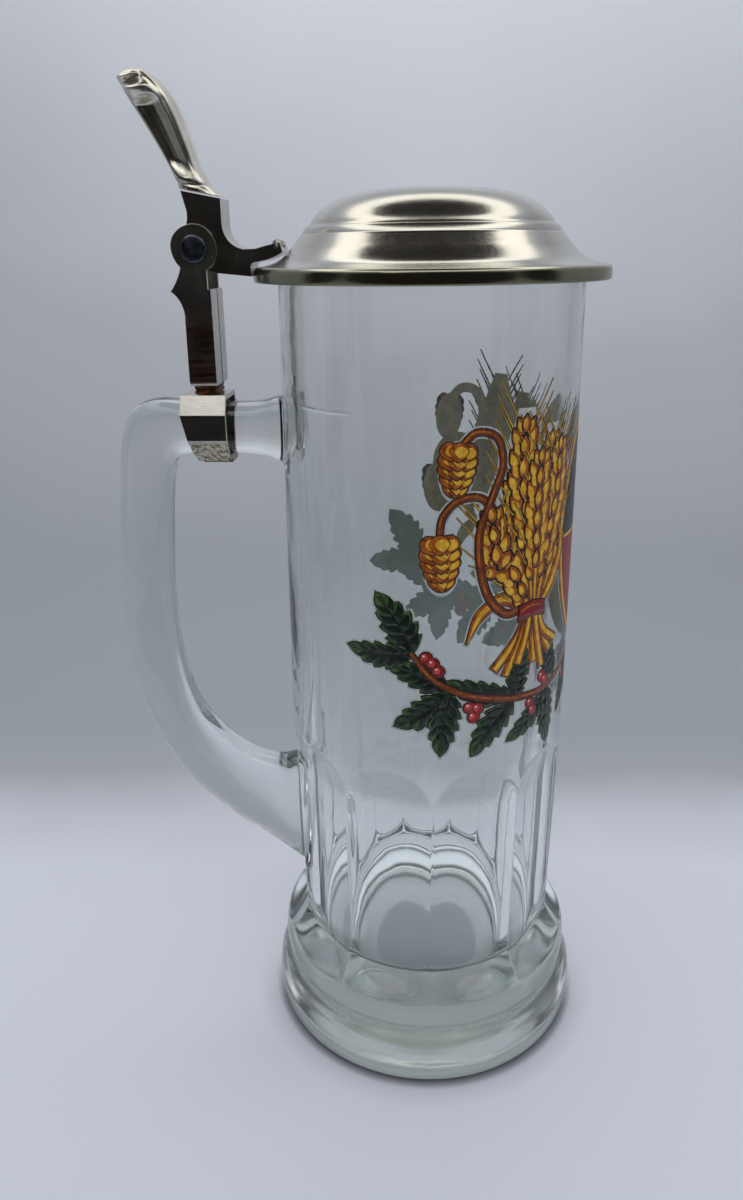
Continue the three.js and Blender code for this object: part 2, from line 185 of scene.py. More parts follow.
def catmull(points, steps):
    """Smooth centripetal curve of steps points through control points of any dimension."""
    p = np.array(points, float)
    p = np.vstack([2 * p[0] - p[1], p, 2 * p[-1] - p[-2]])
    knots = np.concatenate([[0], np.cumsum(np.linalg.norm(np.diff(p, axis=0), axis=1) ** 0.5)])
    out = []
    for t in np.linspace(knots[1], knots[-2], steps):
        i = int(np.clip(np.searchsorted(knots, t, "right") - 1, 1, len(p) - 3))
        k = knots[i - 1 : i + 3]
        q = p[i - 1 : i + 3]
        a = [((k[j + 1] - t) * q[j] + (t - k[j]) * q[j + 1]) / (k[j + 1] - k[j]) for j in range(3)]
        b = [((k[j + 2] - t) * a[j] + (t - k[j]) * a[j + 1]) / (k[j + 2] - k[j]) for j in range(2)]
        out.append(((k[2] - t) * b[0] + (t - k[1]) * b[1]) / (k[2] - k[1]))
    return np.array(out)


def arc(cx, cz, radius, start, end, count):
    return [(cx + radius * math.cos(a), cz + radius * math.sin(a)) for a in np.linspace(start, end, count)]


def bezier(points, count):
    """Points along a quadratic or cubic curve, without its first point."""
    out = []
    for t in np.linspace(0, 1, count + 1)[1:]:
        row = [np.array(p, float) for p in points]
        while len(row) > 1:
            row = [a * (1 - t) + b * t for a, b in zip(row, row[1:])]
        out.append(tuple(row[0]))
    return out


def smoothstep(x, low, high):
    t = np.clip((np.asarray(x, float) - low) / (high - low), 0, 1)
    return t * t * (3 - 2 * t)


def smooth_min(a, b, k):
    h = np.clip(0.5 + 0.5 * (b - a) / k, 0, 1)
    return b + (a - b) * h - k * h * (1 - h)


def bell(x, centre, width):
    return np.exp(-(((x - centre) / width) ** 2))


# ---- node materials ----


def linear(r, g, b):
    """Scene-linear colour from display values of 0 to 255."""
    return (*(c / 255 / 12.92 if c < 10 else ((c / 255 + 0.055) / 1.055) ** 2.4 for c in (r, g, b)), 1.0)


class Shade:
    """A new node material, with short ways to add its nodes."""

    def __init__(self, name, metallic=0.0):
        self.material = bpy.data.materials.new(name)
        self.material.use_nodes = True
        self.tree = self.material.node_tree
        self.shader = next(n for n in self.tree.nodes if n.type == "BSDF_PRINCIPLED")
        self.output = next(n for n in self.tree.nodes if n.type == "OUTPUT_MATERIAL")
        self.shader.inputs["Metallic"].default_value = metallic

    def feed(self, target, **values):
        """Links outputs to a node's inputs, or sets the inputs' own values."""
        for key, value in values.items():
            socket = target.inputs[key.replace("_", " ")]
            if isinstance(value, bpy.types.NodeSocket):
                self.tree.links.new(value, socket)
            else:
                socket.default_value = value
        return target

    def node(self, kind, settings=None, **inputs):
        made = self.tree.nodes.new("ShaderNode" + kind)
        for key, value in (settings or {}).items():
            setattr(made, key, value)
        return self.feed(made, **inputs)

    def vector(self, scale=(1, 1, 1)):
        coordinates = self.node("TexCoord").outputs["Object"]
        return self.node("Mapping", Vector=coordinates, Scale=scale).outputs["Vector"]

    def axis(self, vector, name):
        return self.node("SeparateXYZ", Vector=vector).outputs[name]

    def from_axis(self, vector):
        """Distance from the upright axis."""
        flat = self.node("CombineXYZ", X=self.axis(vector, "X"), Y=self.axis(vector, "Y")).outputs["Vector"]
        length = self.node("VectorMath", {"operation": "LENGTH"})
        self.tree.links.new(flat, length.inputs[0])
        return length.outputs["Value"]

    def noise(self, vector, scale, detail=4.0, roughness=0.55, distortion=0.0):
        return self.node("TexNoise", Vector=vector, Scale=scale, Detail=detail, Roughness=roughness,
                         Distortion=distortion).outputs["Fac"]

    def ramp(self, factor, *stops):
        made = self.node("ValToRGB", Fac=factor)
        elements = made.color_ramp.elements
        while len(elements) < len(stops):
            elements.new(0.5)
        for element, (position, colour) in zip(elements, stops):
            element.position = position
            element.color = colour
        return made.outputs["Color"]

    def greys(self, factor, *stops):
        """Ramp of greys. A third number gives a stop's green on its own."""
        return self.ramp(factor, *[(stop[0], (stop[1], stop[-1], stop[1], 1.0)) for stop in stops])

    def range(self, value, low, high, to_low=0.0, to_high=1.0):
        return self.node("MapRange", Value=value, From_Min=low, From_Max=high, To_Min=to_low,
                         To_Max=to_high).outputs["Result"]

    def math(self, operation, *values):
        made = self.node("Math", {"operation": operation})
        for socket, value in zip(made.inputs, values):
            if isinstance(value, float):
                socket.default_value = value
            else:
                self.tree.links.new(value, socket)
        return made.outputs["Value"]

    def mix(self, factor, a, b, kind="RGBA", blend="MIX"):
        made = self.node("Mix", {"data_type": kind, "blend_type": blend}, Factor=factor, A=a, B=b)
        return made.outputs["Result"]

    def bump(self, height, strength, distance, **normal):
        made = self.node("Bump", Height=height, Strength=strength, Distance=distance, **normal)
        return made.outputs["Normal"]

    def surface(self, colour, roughness, normal):
        self.feed(self.shader, Base_Color=colour, Roughness=roughness, Normal=normal)
        return self.material


def glass_material():
    shade = Shade("clear_pressed_glass")
    shade.feed(shade.shader, Transmission_Weight=1.0, IOR=1.51)
    vector = shade.vector()
    # clear walls, and an underside that is stippled in the middle
    haze = shade.range(shade.noise(vector, 90, 5), 0.35, 0.75, 0.0, 0.03)
    low = shade.range(shade.axis(vector, "Z"), 0.0016, 0.0013)
    stipple = shade.math("MULTIPLY", low, shade.range(shade.from_axis(vector), 0.0148, 0.0156, 0.34, 0.16))
    shade.surface((0.985, 0.995, 0.99, 1), shade.math("ADD", haze, stipple),
                  shade.bump(shade.noise(vector, 55, 2), 0.35, 0.0004))
    absorb = shade.node("VolumeAbsorption", Color=(0.46, 0.55, 0.48, 1), Density=14.0)
    # lamps reach what stands behind the glass, a little dimmed
    pane = shade.node("BsdfTransparent", Color=(0.12, 0.13, 0.125, 1))
    mixed = shade.node("MixShader", Fac=shade.node("LightPath").outputs["Is Shadow Ray"])
    shade.tree.links.new(shade.shader.outputs["BSDF"], mixed.inputs[1])
    shade.tree.links.new(pane.outputs["BSDF"], mixed.inputs[2])
    shade.feed(shade.output, Volume=absorb.outputs["Volume"], Surface=mixed.outputs["Shader"])
    return shade.material


def lid_material():
    shade = Shade("satin_spun_metal", 1.0)
    vector = shade.vector()
    top = shade.ramp(shade.noise(vector, 45, 5), (0.3, linear(182, 180, 171)), (0.7, linear(202, 200, 192)))
    # painted shade: the rim's edge is coloured darker and more olive than the spun top, standing in for the
    # dark surroundings that it reflects
    edge = shade.range(shade.axis(vector, "Z"), 0.1774, 0.1766)
    colour = shade.mix(edge, top, linear(190, 190, 166), blend="MULTIPLY")
    fine = shade.noise(vector, 1400, 3)
    rough = shade.math("ADD", shade.range(shade.noise(vector, 70, 6, 0.65), 0.35, 0.7, 0.18, 0.23),
                       shade.range(fine, 0.3, 0.7, -0.03, 0.03))
    # spinning lines: rings about the lid's own axis
    rings = shade.node("TexWave", {"wave_type": "RINGS", "rings_direction": "Z"}, Vector=vector, Scale=420.0,
                       Distortion=2.0, Detail=3.0, Detail_Scale=2.0)
    grain = shade.bump(rings.outputs["Fac"], 0.08, 0.00002)
    return shade.surface(colour, rough, shade.bump(fine, 0.06, 0.00002, Normal=grain))


def mount_shade(name, dark, light, rough_low, rough_high, along=(14, 14, 1), tint=None, scratches=4200):
    """Worn polish with scratches drawn out along an axis. A tint fills those of the lower cheeks."""
    shade = Shade(name, 1.0)
    vector = shade.vector()
    cloud = shade.noise(vector, 160, 6, 0.6)
    colour = shade.ramp(cloud, (0.35, linear(*dark)), (0.65, linear(*light)))
    lines = shade.noise(shade.vector([1 / length for length in along]), scratches, 4, 0.7)
    if tint:
        low = shade.range(shade.axis(vector, "Z"), 0.172, 0.164)
        cheek = shade.math("GREATER_THAN", shade.math("ABSOLUTE", shade.axis(vector, "Y")), 0.0053)
        where = shade.math("MULTIPLY", low, cheek)
        amount = shade.math("MULTIPLY", where, shade.range(lines, 0.42, 0.58, 0.15, 1.0))
        colour = shade.mix(amount, colour, linear(*tint), blend="MULTIPLY")
    rough = shade.range(cloud, 0.3, 0.7, rough_low, rough_high)
    shade.surface(colour, rough, shade.bump(lines, 0.25, 0.00004))
    return shade


def clamp_material():
    """Polished band whose underside is scratched and stained."""
    shade = mount_shade("clamp_band", (150, 148, 143), (190, 187, 181), 0.15, 0.24)
    vector = shade.vector()
    under = shade.range(shade.axis(vector, "Z"), 0.1428, 0.1420)
    spots = shade.noise(vector, 1300, 5, 0.75)
    stain = shade.ramp(spots, (0.40, linear(96, 86, 66)), (0.60, linear(206, 200, 182)))
    inputs = shade.shader.inputs
    colour = shade.mix(under, inputs["Base Color"].links[0].from_socket, stain)
    rough = shade.mix(under, inputs["Roughness"].links[0].from_socket,
                      shade.range(spots, 0.3, 0.7, 0.30, 0.5), "FLOAT")
    shade.feed(shade.shader, Base_Color=colour, Roughness=rough)
    return shade.material


def rough_metal_material(name, dark, light, rough, height):
    """Cast or brazed metal with a grainy skin."""
    shade = Shade(name, 1.0)
    grain = shade.noise(shade.vector(), 900, 6, 0.7)
    return shade.surface(shade.ramp(grain, (0.38, linear(*dark)), (0.62, linear(*light))),
                         shade.range(grain, 0.3, 0.7, rough, rough + 0.2), shade.bump(grain, 0.8, height))


def ink_material(name, dark, light, scale, rough=0.28):
    shade = Shade(name)
    blot = shade.noise(shade.vector(), scale, 5, 0.6, 0.4)
    return shade.surface(shade.ramp(blot, (0.36, linear(*dark)), (0.64, linear(*light))),
                         shade.range(blot, 0.3, 0.7, rough, rough + 0.12), shade.bump(blot, 0.2, 0.00005))


# ---- glass: body and handle in one piece ----


def wall_radius(z):
    return WALL_RADIUS - WALL_TAPER * smoothstep(z, 72, 182)


def panel_radius(azimuth, z):
    """Radius of the wall with its flats, which end in round arches above and sweep into the collar below."""
    wall = wall_radius(z)
    step = 2 * math.pi / PANELS
    turned_by = azimuth - PANEL_TURN
    off_centre = turned_by - step * (np.floor(turned_by / step) + 0.5)
    spring = WALL_RADIUS * math.cos(ARCH_RADIUS / WALL_RADIUS)
    straight = PANEL_APOTHEM + (spring - PANEL_APOTHEM) * (z - PANEL_LOW_Z) / (PANEL_SPRING_Z - PANEL_LOW_Z)
    rise = np.clip(z - PANEL_SPRING_Z, 0, ARCH_RADIUS)
    arched = wall * np.cos(np.sqrt(ARCH_RADIUS**2 - rise**2) / wall)
    beyond = np.maximum(z - PANEL_SPRING_Z - ARCH_RADIUS, 0)
    apothem = np.where(z < PANEL_SPRING_Z, straight, arched + 0.3 * beyond)
    flat = apothem / np.cos(off_centre)
    ridge = np.clip(np.abs(off_centre) / (step / 2), 0, 1)
    start = FLAT_SWEEP_Z + (CORNER_SWEEP_Z - FLAT_SWEEP_Z) * ridge**3
    fall = np.clip((start - z) / (start - COLLAR_Z), 0, 1)
    spread = 0.45 * fall + 0.55 * smoothstep(fall, 0, 1)
    return smooth_min(wall + 0.03, flat, 0.12) * (1 - spread) + COLLAR_RADIUS * spread


def fill_line(azimuth, z):
    """Raised line that marks the measure."""
    degrees = np.degrees(azimuth)
    along = smoothstep(degrees, -51.5, -50) * (1 - smoothstep(degrees, -29, -27.5))
    return 0.16 * along * bell(z, FILL_LINE_Z, 0.26)


def ripple(azimuth, z):
    """Slight unevenness of pressed glass."""
    slow = 0.022 * np.sin(3 * azimuth + 0.7 + 0.02 * z) * np.sin(z / 17.0)
    return slow + 0.014 * np.sin(5 * azimuth - z / 11.0)


def glass_rows(azimuth):
    """Rows of (radii, height): the underside, then the foot, the wall, the rim and the bore."""
    under = [(6.0, UNDER_Z), (13.2, UNDER_Z), (14.4, 1.2), (15.2, 1.1), (16.0, 1.05), (20.0, 1.0),
             (25.0, 0.95), (27.2, 0.75), (28.2, 0.3), (29.0, 0.05), (29.6, 0.0)]
    foot = catmull([
        (35.4, 0.0), (36.6, 0.35), (37.25, 1.4), (FOOT_RADIUS, 4.0), (FOOT_RADIUS - 0.03, 7.0), (37.2, 9.1),
        (36.7, 10.4), (36.1, 11.6), (35.35, 12.6), (34.95, 13.3), (35.05, 14.2), (35.45, 15.6), (35.5, 18.0),
        (35.4, 19.4), (COLLAR_RADIUS, COLLAR_Z)], 60)[:-1]
    rows = [(np.full(COLUMNS, radius), z) for radius, z in [*under, *foot]]
    rim_z = GLASS_TOP - RIM_ROUND
    heights = [np.linspace(*span) for span in (
        (COLLAR_Z, 36.0, 34), (36.8, 66.0, 30), (66.6, 79.2, 34), (81.5, 150.5, 28), (151.0, 153.0, 17),
        (155.0, rim_z, 8))]
    wrapped = (azimuth + math.pi) % (2 * math.pi) - math.pi
    for z in np.concatenate(heights):
        rows.append((panel_radius(azimuth, z) + fill_line(wrapped, z) + ripple(azimuth, z), z))
    outside = float(rows[-1][0].mean())
    middle, half = (outside + BORE_RADIUS) / 2, (outside - BORE_RADIUS) / 2
    for turn in np.linspace(0, math.pi, 13)[1:-1]:
        z = rim_z + RIM_ROUND * math.sin(turn) ** 0.8
        rows.append((np.full(COLUMNS, middle + half * math.cos(turn)), z))
    bore = catmull([
        (BORE_RADIUS, rim_z), (BORE_RADIUS, 150), (27.7, 120), (27.2, 90), (26.8, 60), (26.6, 38),
        (26.5, 26.5), (26.35, 24.0), (25.7, 22.5), (24.4, 21.75), (20.0, 21.55), (12.0, FLOOR_Z),
        (5.0, FLOOR_Z)], 100)
    rows += [(radius + 0.6 * ripple(azimuth, z) * (z > 32), z) for radius, z in bore]
    return rows


def glass_body_mesh():
    """Grid whose columns start on a ridge between two flats and crowd towards every ridge."""
    share = np.arange(COLUMNS) * PANELS / COLUMNS
    share = share - 0.55 * np.sin(2 * math.pi * share) / (2 * math.pi)
    azimuth = PANEL_TURN + 2 * math.pi * share / PANELS
    rows = glass_rows(azimuth)
    verts = [(0, 0, UNDER_Z)]
    for radii, z in rows:
        verts += [(x, y, z) for x, y in zip(radii * np.sin(azimuth), -radii * np.cos(azimuth))]
    verts.append((0, 0, FLOOR_Z))
    faces = [(0, 1 + (i + 1) % COLUMNS, 1 + i) for i in range(COLUMNS)]
    for k in range(len(rows) - 1):
        faces += ring_faces(1 + k * COLUMNS, 1 + (k + 1) * COLUMNS, COLUMNS)
    top = 1 + (len(rows) - 1) * COLUMNS
    faces += [(top + i, top + (i + 1) % COLUMNS, len(verts) - 1) for i in range(COLUMNS)]
    return verts, faces


# Sections from the upper joint to the lower one: outer [x, z], inner [x, z], half depth.
HANDLE_SECTIONS = [
    (-27.0, 152.6, -27.0, 136.6, 6.6), (-31.8, 151.6, -31.8, 137.7, 6.1), (-36.0, 150.5, -36.0, 139.1, 5.3),
    (-44.0, 150.4, -43.6, 139.6, 5.3), (-51.0, 150.5, -49.8, 139.6, 5.3), (-58.3, 151.1, -53.4, 139.0, 5.3),
    (-63.7, 148.6, -55.0, 137.6, 5.3), (-66.6, 141.8, -55.7, 135.2, 5.3), (-67.8, 132.5, -56.5, 131.2, 5.3),
    (-69.2, 120.0, -57.5, 120.0, 5.3), (-70.4, 103.0, -58.3, 105.0, 5.3), (-69.6, 87.5, -57.4, 90.0, 5.3),
    (-65.8, 73.6, -54.6, 79.0, 5.3), (-58.6, 59.4, -49.2, 71.3, 5.3), (-48.0, 48.6, -42.4, 66.0, 5.3),
    (-37.6, 41.2, -35.4, 64.0, 5.6), (-31.6, 36.4, -31.0, 65.2, 6.4), (-26.5, 32.0, -26.5, 67.0, 7.2)]
HANDLE_SIDES = 56


def handle_rings():
    """Rounded sections of the handle, as far as they stand out of the wall or just inside it."""
    rings = []
    for outer_x, outer_z, inner_x, inner_z, half in catmull(HANDLE_SECTIONS, 230):
        if outer_x >= (-29.3 if outer_z > 100 else -28.2):
            continue
        centre = np.array([(outer_x + inner_x) / 2, (outer_z + inner_z) / 2])
        radial = np.array([(outer_x - inner_x) / 2, (outer_z - inner_z) / 2])
        ring = []
        for side in range(HANDLE_SIDES):
            across, along = squarish(-2 * math.pi * side / HANDLE_SIDES, 2 / 2.7)
            x, z = centre + radial * along
            ring.append((x, across * half, z))
        rings.append(ring)
    return rings


def crease_tree(bm):
    """Search tree of the sharp edges where the handle meets the wall."""
    crease = set()
    for edge in bm.edges:
        x, y, z = (edge.verts[0].co + edge.verts[1].co) / 2 / MM
        at_wall = x <= -26 and abs(y) <= 9 and 29.6 <= math.hypot(x, y) <= 34
        at_joint = 33 < z < 70 or 134 < z < 156
        if at_wall and at_joint and len(edge.link_faces) == 2 and edge.calc_face_angle(0) > math.radians(24):
            crease.update(edge.verts)
    tree = kdtree.KDTree(len(crease))
    for i, v in enumerate(crease):
        tree.insert(v.co, i)
    tree.balance()
    return tree


def soften_joints(obj, reach=2.4 * MM, rounds=14):
    """Rounds the crease where the handle meets the wall."""
    bm = bmesh.new()
    bm.from_mesh(obj.data)
    bmesh.ops.remove_doubles(bm, verts=bm.verts, dist=0.04 * MM)
    tree = crease_tree(bm)
    near = []
    for v in bm.verts:
        if v.co.x <= -24 * MM:
            distance = tree.find(v.co)[2]
            if distance < reach:
                near.append((v, 1 - distance / reach))
    for _ in range(rounds):
        moved = []
        for v, weight in near:
            others = [edge.other_vert(v).co for edge in v.link_edges]
            moved.append(v.co.lerp(sum(others, Vector()) / len(others), 0.6 * weight))
        for (v, _), place in zip(near, moved):
            v.co = place
    bm.normal_update()
    bm.to_mesh(obj.data)
    bm.free()


def make_glass():
    body = make_object("mug_glass", *glass_body_mesh())
    outward(body)
    carve(body, tube("handle_tmp", handle_rings()), "UNION")
    soften_joints(body)
    shade_smooth(body)
    dress(body, glass_material())
    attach(body, "stein")
    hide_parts("glass_body", "glass_handle")


# ---- printed picture: generic barley, hops, leaves and a plain medallion ----
#
# Outlines are drawn flat, as [across, height] in millimetres. Across is measured round the wall
# from the side opposite the handle. An outline on one side of that line is also drawn mirrored
# about it. Every outline becomes a thin closed body wrapped on the wall at a height above it of
# some hundredths of a millimetre, and later inks lie over earlier ones.

PRINT_RADIUS = 31.15
INK_BOTTOM = 0.008
HALO_BOTTOM = 0.004
OUTLINE_Z = 0.014
LAYER = 0.010
EAR_LAYER = 0.009
inks = {}


def add_ink(name, outline, height):
    inks.setdefault(name, []).append((np.array(outline, float), height))


def wrap_on_wall(flat, lift):
    azimuth = math.pi / 2 + flat[:, 0] / PRINT_RADIUS
    radius = panel_radius(azimuth, flat[:, 1]) + ripple(azimuth, flat[:, 1]) + lift
    return list(np.column_stack([radius * np.sin(azimuth), -radius * np.cos(azimuth), flat[:, 1]]))


def cut_outline(outline):
    """Flat mesh of an outline, cut into narrow strips so that it can follow the wall."""
    bm = bmesh.new()
    face = bm.faces.new([bm.verts.new((x, z, 0)) for x, z in outline])
    face.normal_update()
    bmesh.ops.triangulate(bm, faces=[face], ngon_method="EAR_CLIP")
    for axis, pitch, normal in ((0, 0.6, (1, 0, 0)), (1, 4.0, (0, 1, 0))):
        low, high = outline[:, axis].min(), outline[:, axis].max()
        for k in range(math.ceil(low / pitch), math.floor(high / pitch) + 1):
            bmesh.ops.bisect_plane(bm, geom=bm.verts[:] + bm.edges[:] + bm.faces[:], dist=1e-5,
                                   plane_co=[c * k * pitch for c in normal], plane_no=normal)
    bm.verts.index_update()
    flat = np.array([v.co[:2] for v in bm.verts])
    faces = [[v.index for v in f.verts] for f in bm.faces]
    border = [(loop.vert.index, loop.link_loop_next.vert.index)
              for f in bm.faces for loop in f.loops if len(loop.edge.link_faces) == 1]
    bm.free()
    return flat, faces, border


def ink_body(ink, front, back=None, bottom=INK_BOTTOM):
    """Thin closed bodies of one ink: its outlines, and the mirror images of those to one side."""
    verts, faces, backs = [], [], []
    for outline, height in inks[ink]:
        for side in (1, -1) if outline[:, 0].max() < 5 else (1,):
            points = outline * (side, 1)
            x, z = points.T
            if np.sum(x * np.roll(z, -1) - np.roll(x, -1) * z) < 0:
                points = points[::-1]
            flat, cells, border = cut_outline(points)
            top, under = len(verts), len(verts) + len(flat)
            verts += wrap_on_wall(flat, height) + wrap_on_wall(flat, bottom)
            faces += [[top + i for i in cell] for cell in cells]
            faces += [[under + i for i in reversed(cell)] for cell in cells]
            faces += [[top + b, top + a, under + a, under + b] for a, b in border]
            backs += [0] * len(cells) + [1] * len(cells) + [0] * len(border)
    obj = make_object("print_" + ink, verts, faces)
    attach(obj, "stein")
    dress(obj, front)
    if back:
        obj.data.materials.append(back)
        obj.data.polygons.foreach_set("material_index", backs)


def ribbon(points, widths, grow=0.0, steps=24):
    """Outline of a line that changes in width."""
    path = catmull(points, steps)
    along = np.gradient(path, axis=0)
    along /= np.linalg.norm(along, axis=1)[:, None]
    path[0] -= along[0] * grow
    path[-1] += along[-1] * grow
    width = np.interp(np.linspace(0, 1, steps), np.linspace(0, 1, len(widths)), widths) / 2 + grow
    side = np.column_stack([-along[:, 1], along[:, 0]]) * width[:, None]
    return np.vstack([path + side, (path - side)[::-1]])


def turned(centre, x, y, turn):
    return np.column_stack([centre[0] + x * math.cos(turn) - y * math.sin(turn),
                            centre[1] + x * math.sin(turn) + y * math.cos(turn)])


def oval(centre, half_width, half_height, turn=0.0, count=20):
    angle = np.arange(count) * 2 * math.pi / count
    return turned(centre, half_width * np.cos(angle), half_height * np.sin(angle), turn)


def draw_leaf(base, tip, half, bend, level, teeth=5, blades=6):
    """Serrated leaf whose teeth point towards its tip, with light veins between its dark blades."""
    base, tip = np.array(base, float), np.array(tip, float)
    length = np.linalg.norm(tip - base)
    along = (tip - base) / length
    across = np.array([-along[1], along[0]])

    def point(share, off):
        bow = bend * 4 * share * (1 - min(share, 1))
        return base + along * length * min(share, 0.985) + across * (off + bow)

    def width(share, rest):
        return 2.05 * half * share**0.55 * rest**0.8

    def edge(grow=0.0):
        left, right = [], []
        for k in range(teeth):
            for part, size in ((0.0, 0.7), (0.45, 0.91), (0.86, 1.0)):
                share = (k + part + 0.12) / (teeth + 0.3)
                off = 1.26 * (width(share, 1 - share) * size + grow)
                left.append(point(share, off))
                right.append(point(share, -off))
        return [base - along * grow, *left, tip + along * 1.6 * grow, *right[::-1]]

    height = OUTLINE_Z + level * LAYER
    add_ink("halo_leaf", edge(0.62), 0.010 + level * 0.0008)
    add_ink("outline", edge(0.26), height)
    add_ink("leaf_light", edge(), height + 0.003)
    for side in (1, -1):
        for k in range(blades):
            low, high = 0.02 + k * 0.148, 0.02 + (k + 1.02) * 0.148
            reach = 1.08 * width(high + 0.04, 1 - min(high + 0.05, 0.98))
            blade = [(low, 0.05), (low + 0.05, reach * 0.62), (high + 0.02, reach * 0.98),
                     (high + 0.10, reach * 0.86), (high + 0.03, reach * 0.5), (high, 0.05)]
            add_ink("leaf_dark", [point(share, side * off) for share, off in blade], height + 0.006)
    rib = [base, base + along * length * 0.5 + across * bend, base + along * length * 0.93]
    add_ink("outline", ribbon(rib, (0.42, 0.3, 0.12), steps=12), height + 0.009)


def draw_berry(centre, radius=1.25):
    """Red berry with a lit side and a small highlight, sized and shifted in shares of its radius."""
    for ink, wide, tall, shift, height in (
            ("halo_red", 1.44, 1.44, (0, 0), 0.0125), ("outline", 1.176, 1.176, (0, 0), 0.056),
            ("red", 1, 1, (0, 0), 0.060), ("red_light", 0.55, 0.6, (-0.25, 0.15), 0.063),
            ("white", 0.2, 0.17, (-0.35, 0.35), 0.066)):
        add_ink(ink, oval(np.add(centre, np.multiply(shift, radius)), radius * wide, radius * tall), height)


def draw_stroke(points, widths, height, steps, body, light, halo, halo_height, shift, share):
    """Line over a pale halo, with a dark outline and a lit streak shifted from its middle."""
    add_ink("halo_gold", ribbon(points, widths, halo, steps), halo_height)
    add_ink("outline", ribbon(points, widths, 0.2, steps), height)
    add_ink(body, ribbon(points, widths, 0.0, steps), height + 0.003)
    lit = np.array(points, float) + shift
    add_ink(light, ribbon(lit, [width * share for width in widths], 0.0, steps), height + 0.006)


def draw_stem(points, widths, level, steps):
    height = OUTLINE_Z + level * LAYER
    draw_stroke(points, widths, height, steps, "brown", "amber", 0.55, 0.0118, (-0.12, 0.1), 0.34)


def draw_blade(points, widths, level):
    """Long leaf blade of the barley."""
    height = OUTLINE_Z + level * EAR_LAYER
    draw_stroke(points, widths, height, 30, "amber", "gold", 0.5, 0.0106, (0.25, 0.15), 0.45)


def draw_kernel(centre, turn, length, half, height, outline):
    """Plump pointed grain: dark edge, amber body and a yellow lit side."""
    t = np.linspace(0, 1, 9)
    for ink, size, grow, shift, lift in (
            ("outline", 1.0, outline, 0.0, 0.0), ("amber", 0.98, 0.0, 0.0, 0.003),
            ("gold", 0.62, 0.0, -0.22 * half, 0.006)):
        width = half * size * np.sin(math.pi * t**0.8) ** 0.8 + grow
        y = (t - 0.5) * (length * size + 2 * grow)
        # without an outline's growth both ends are single points
        ends = slice(None) if grow else slice(1, -1)
        x = np.concatenate([-width, width[::-1][ends]]) + shift
        add_ink(ink, turned(centre, x, np.concatenate([y, y[::-1][ends]]), turn), height + lift)


def draw_ear(root, top, bend, level, reach=27.0, grains=12, steps=60):
    """Bearded ear of barley on its stalk."""
    root, top = np.array(root, float), np.array(top, float)
    total = np.linalg.norm(top - root)
    along = (top - root) / total
    across = np.array([-along[1], along[0]])
    path = catmull([root, root + along * total * 0.5 + across * bend * 0.6,
                    top - along * reach * 0.5 + across * bend, top], steps)
    height = OUTLINE_Z + level * EAR_LAYER
    stalk = path[: max(int(steps * (1 - reach / total)) + 6, 6)]
    add_ink("outline", ribbon(stalk, (1.3, 1.2), 0.16, 20), height - 0.002)
    add_ink("amber", ribbon(stalk, (1.3, 1.2), 0.0, 20), height + 0.001)
    add_ink("gold", ribbon(stalk, (0.55, 0.5), 0.0, 20), height + 0.004)
    add_ink("halo_gold", ribbon(path[-34:], (4.6, 8.6, 8.2, 3.4), 0.3, 20), 0.010 + level * 0.0004)
    travelled = np.concatenate([[0], np.cumsum(np.linalg.norm(np.diff(path, axis=0), axis=1))])

    def at(place):
        return np.array([np.interp(place, travelled, path[:, axis]) for axis in (0, 1)])

    for i in range(grains):
        place = travelled[-1] - reach + 1.5 + (reach - 2.5) * i / grains
        centre = at(place)
        ahead = at(place + 1) - centre
        heading = math.atan2(ahead[1], ahead[0]) - math.pi / 2
        swell = 0.72 + 0.36 * math.sin(math.pi * (i + 1.5) / (grains + 2))
        for side in (-1, 1):
            lean = heading - side * 0.46
            sideways = np.array([math.cos(heading), math.sin(heading)]) * side * 1.85 * swell
            spot = centre + sideways + (0.35 * math.sin(3.1 * i + side), 0)
            if i % 2 == 0 or i > 8:
                start = spot + np.array([-math.sin(lean), math.cos(lean)]) * 1.5
                flare = lean - side * 0.10
                tip = start + np.array([-math.sin(flare), math.cos(flare)]) * (5.0 + 0.3 * i)
                beard = [start, (start + tip) / 2, tip]
                add_ink("outline", ribbon(beard, (0.42, 0.22), 0.05, 8), height - 0.003)
                add_ink("gold", ribbon(beard, (0.24, 0.08), 0.0, 8), height - 0.001)
            draw_kernel(spot, lean, 3.9 * swell + 0.3, 1.2 * swell, height, 0.26)
        if i % 2 == 1:
            lean = heading + 0.06 * math.sin(5 * i)
            draw_kernel(centre + (0.0, 0.5), lean, 4.0 * swell, 1.1 * swell, height + 0.010, 0.26)


def draw_hop(top, turn, length=10.2, half=3.0):
    """Hanging cone of overlapping bracts."""
    top = np.array(top, float)
    down = np.array([math.sin(turn), -math.cos(turn)])
    across = np.array([-down[1], down[0]])
    add_ink("halo_gold", oval(top + down * length * 0.5, half + 0.55, length * 0.5 + 0.7, turn), 0.0112)
    add_ink("outline", oval(top + down * length * 0.47, half * 0.8, length * 0.45, turn), 0.050)
    for row in range(5):
        t = 0.80 - row * 0.165
        wide = half * math.sin(math.pi * min(0.30 + 0.62 * t, 0.95)) ** 0.9
        for place, size, lift in ((-0.62, 0.62, 0.0), (0.62, 0.62, 0.0), (0.0, 0.72, 0.004)):
            spot = top + down * length * t + across * wide * place
            lean = turn + math.pi - 0.55 * place
            draw_kernel(spot, lean, length * 0.36, wide * size, 0.054 + row * LAYER + lift, 0.16)


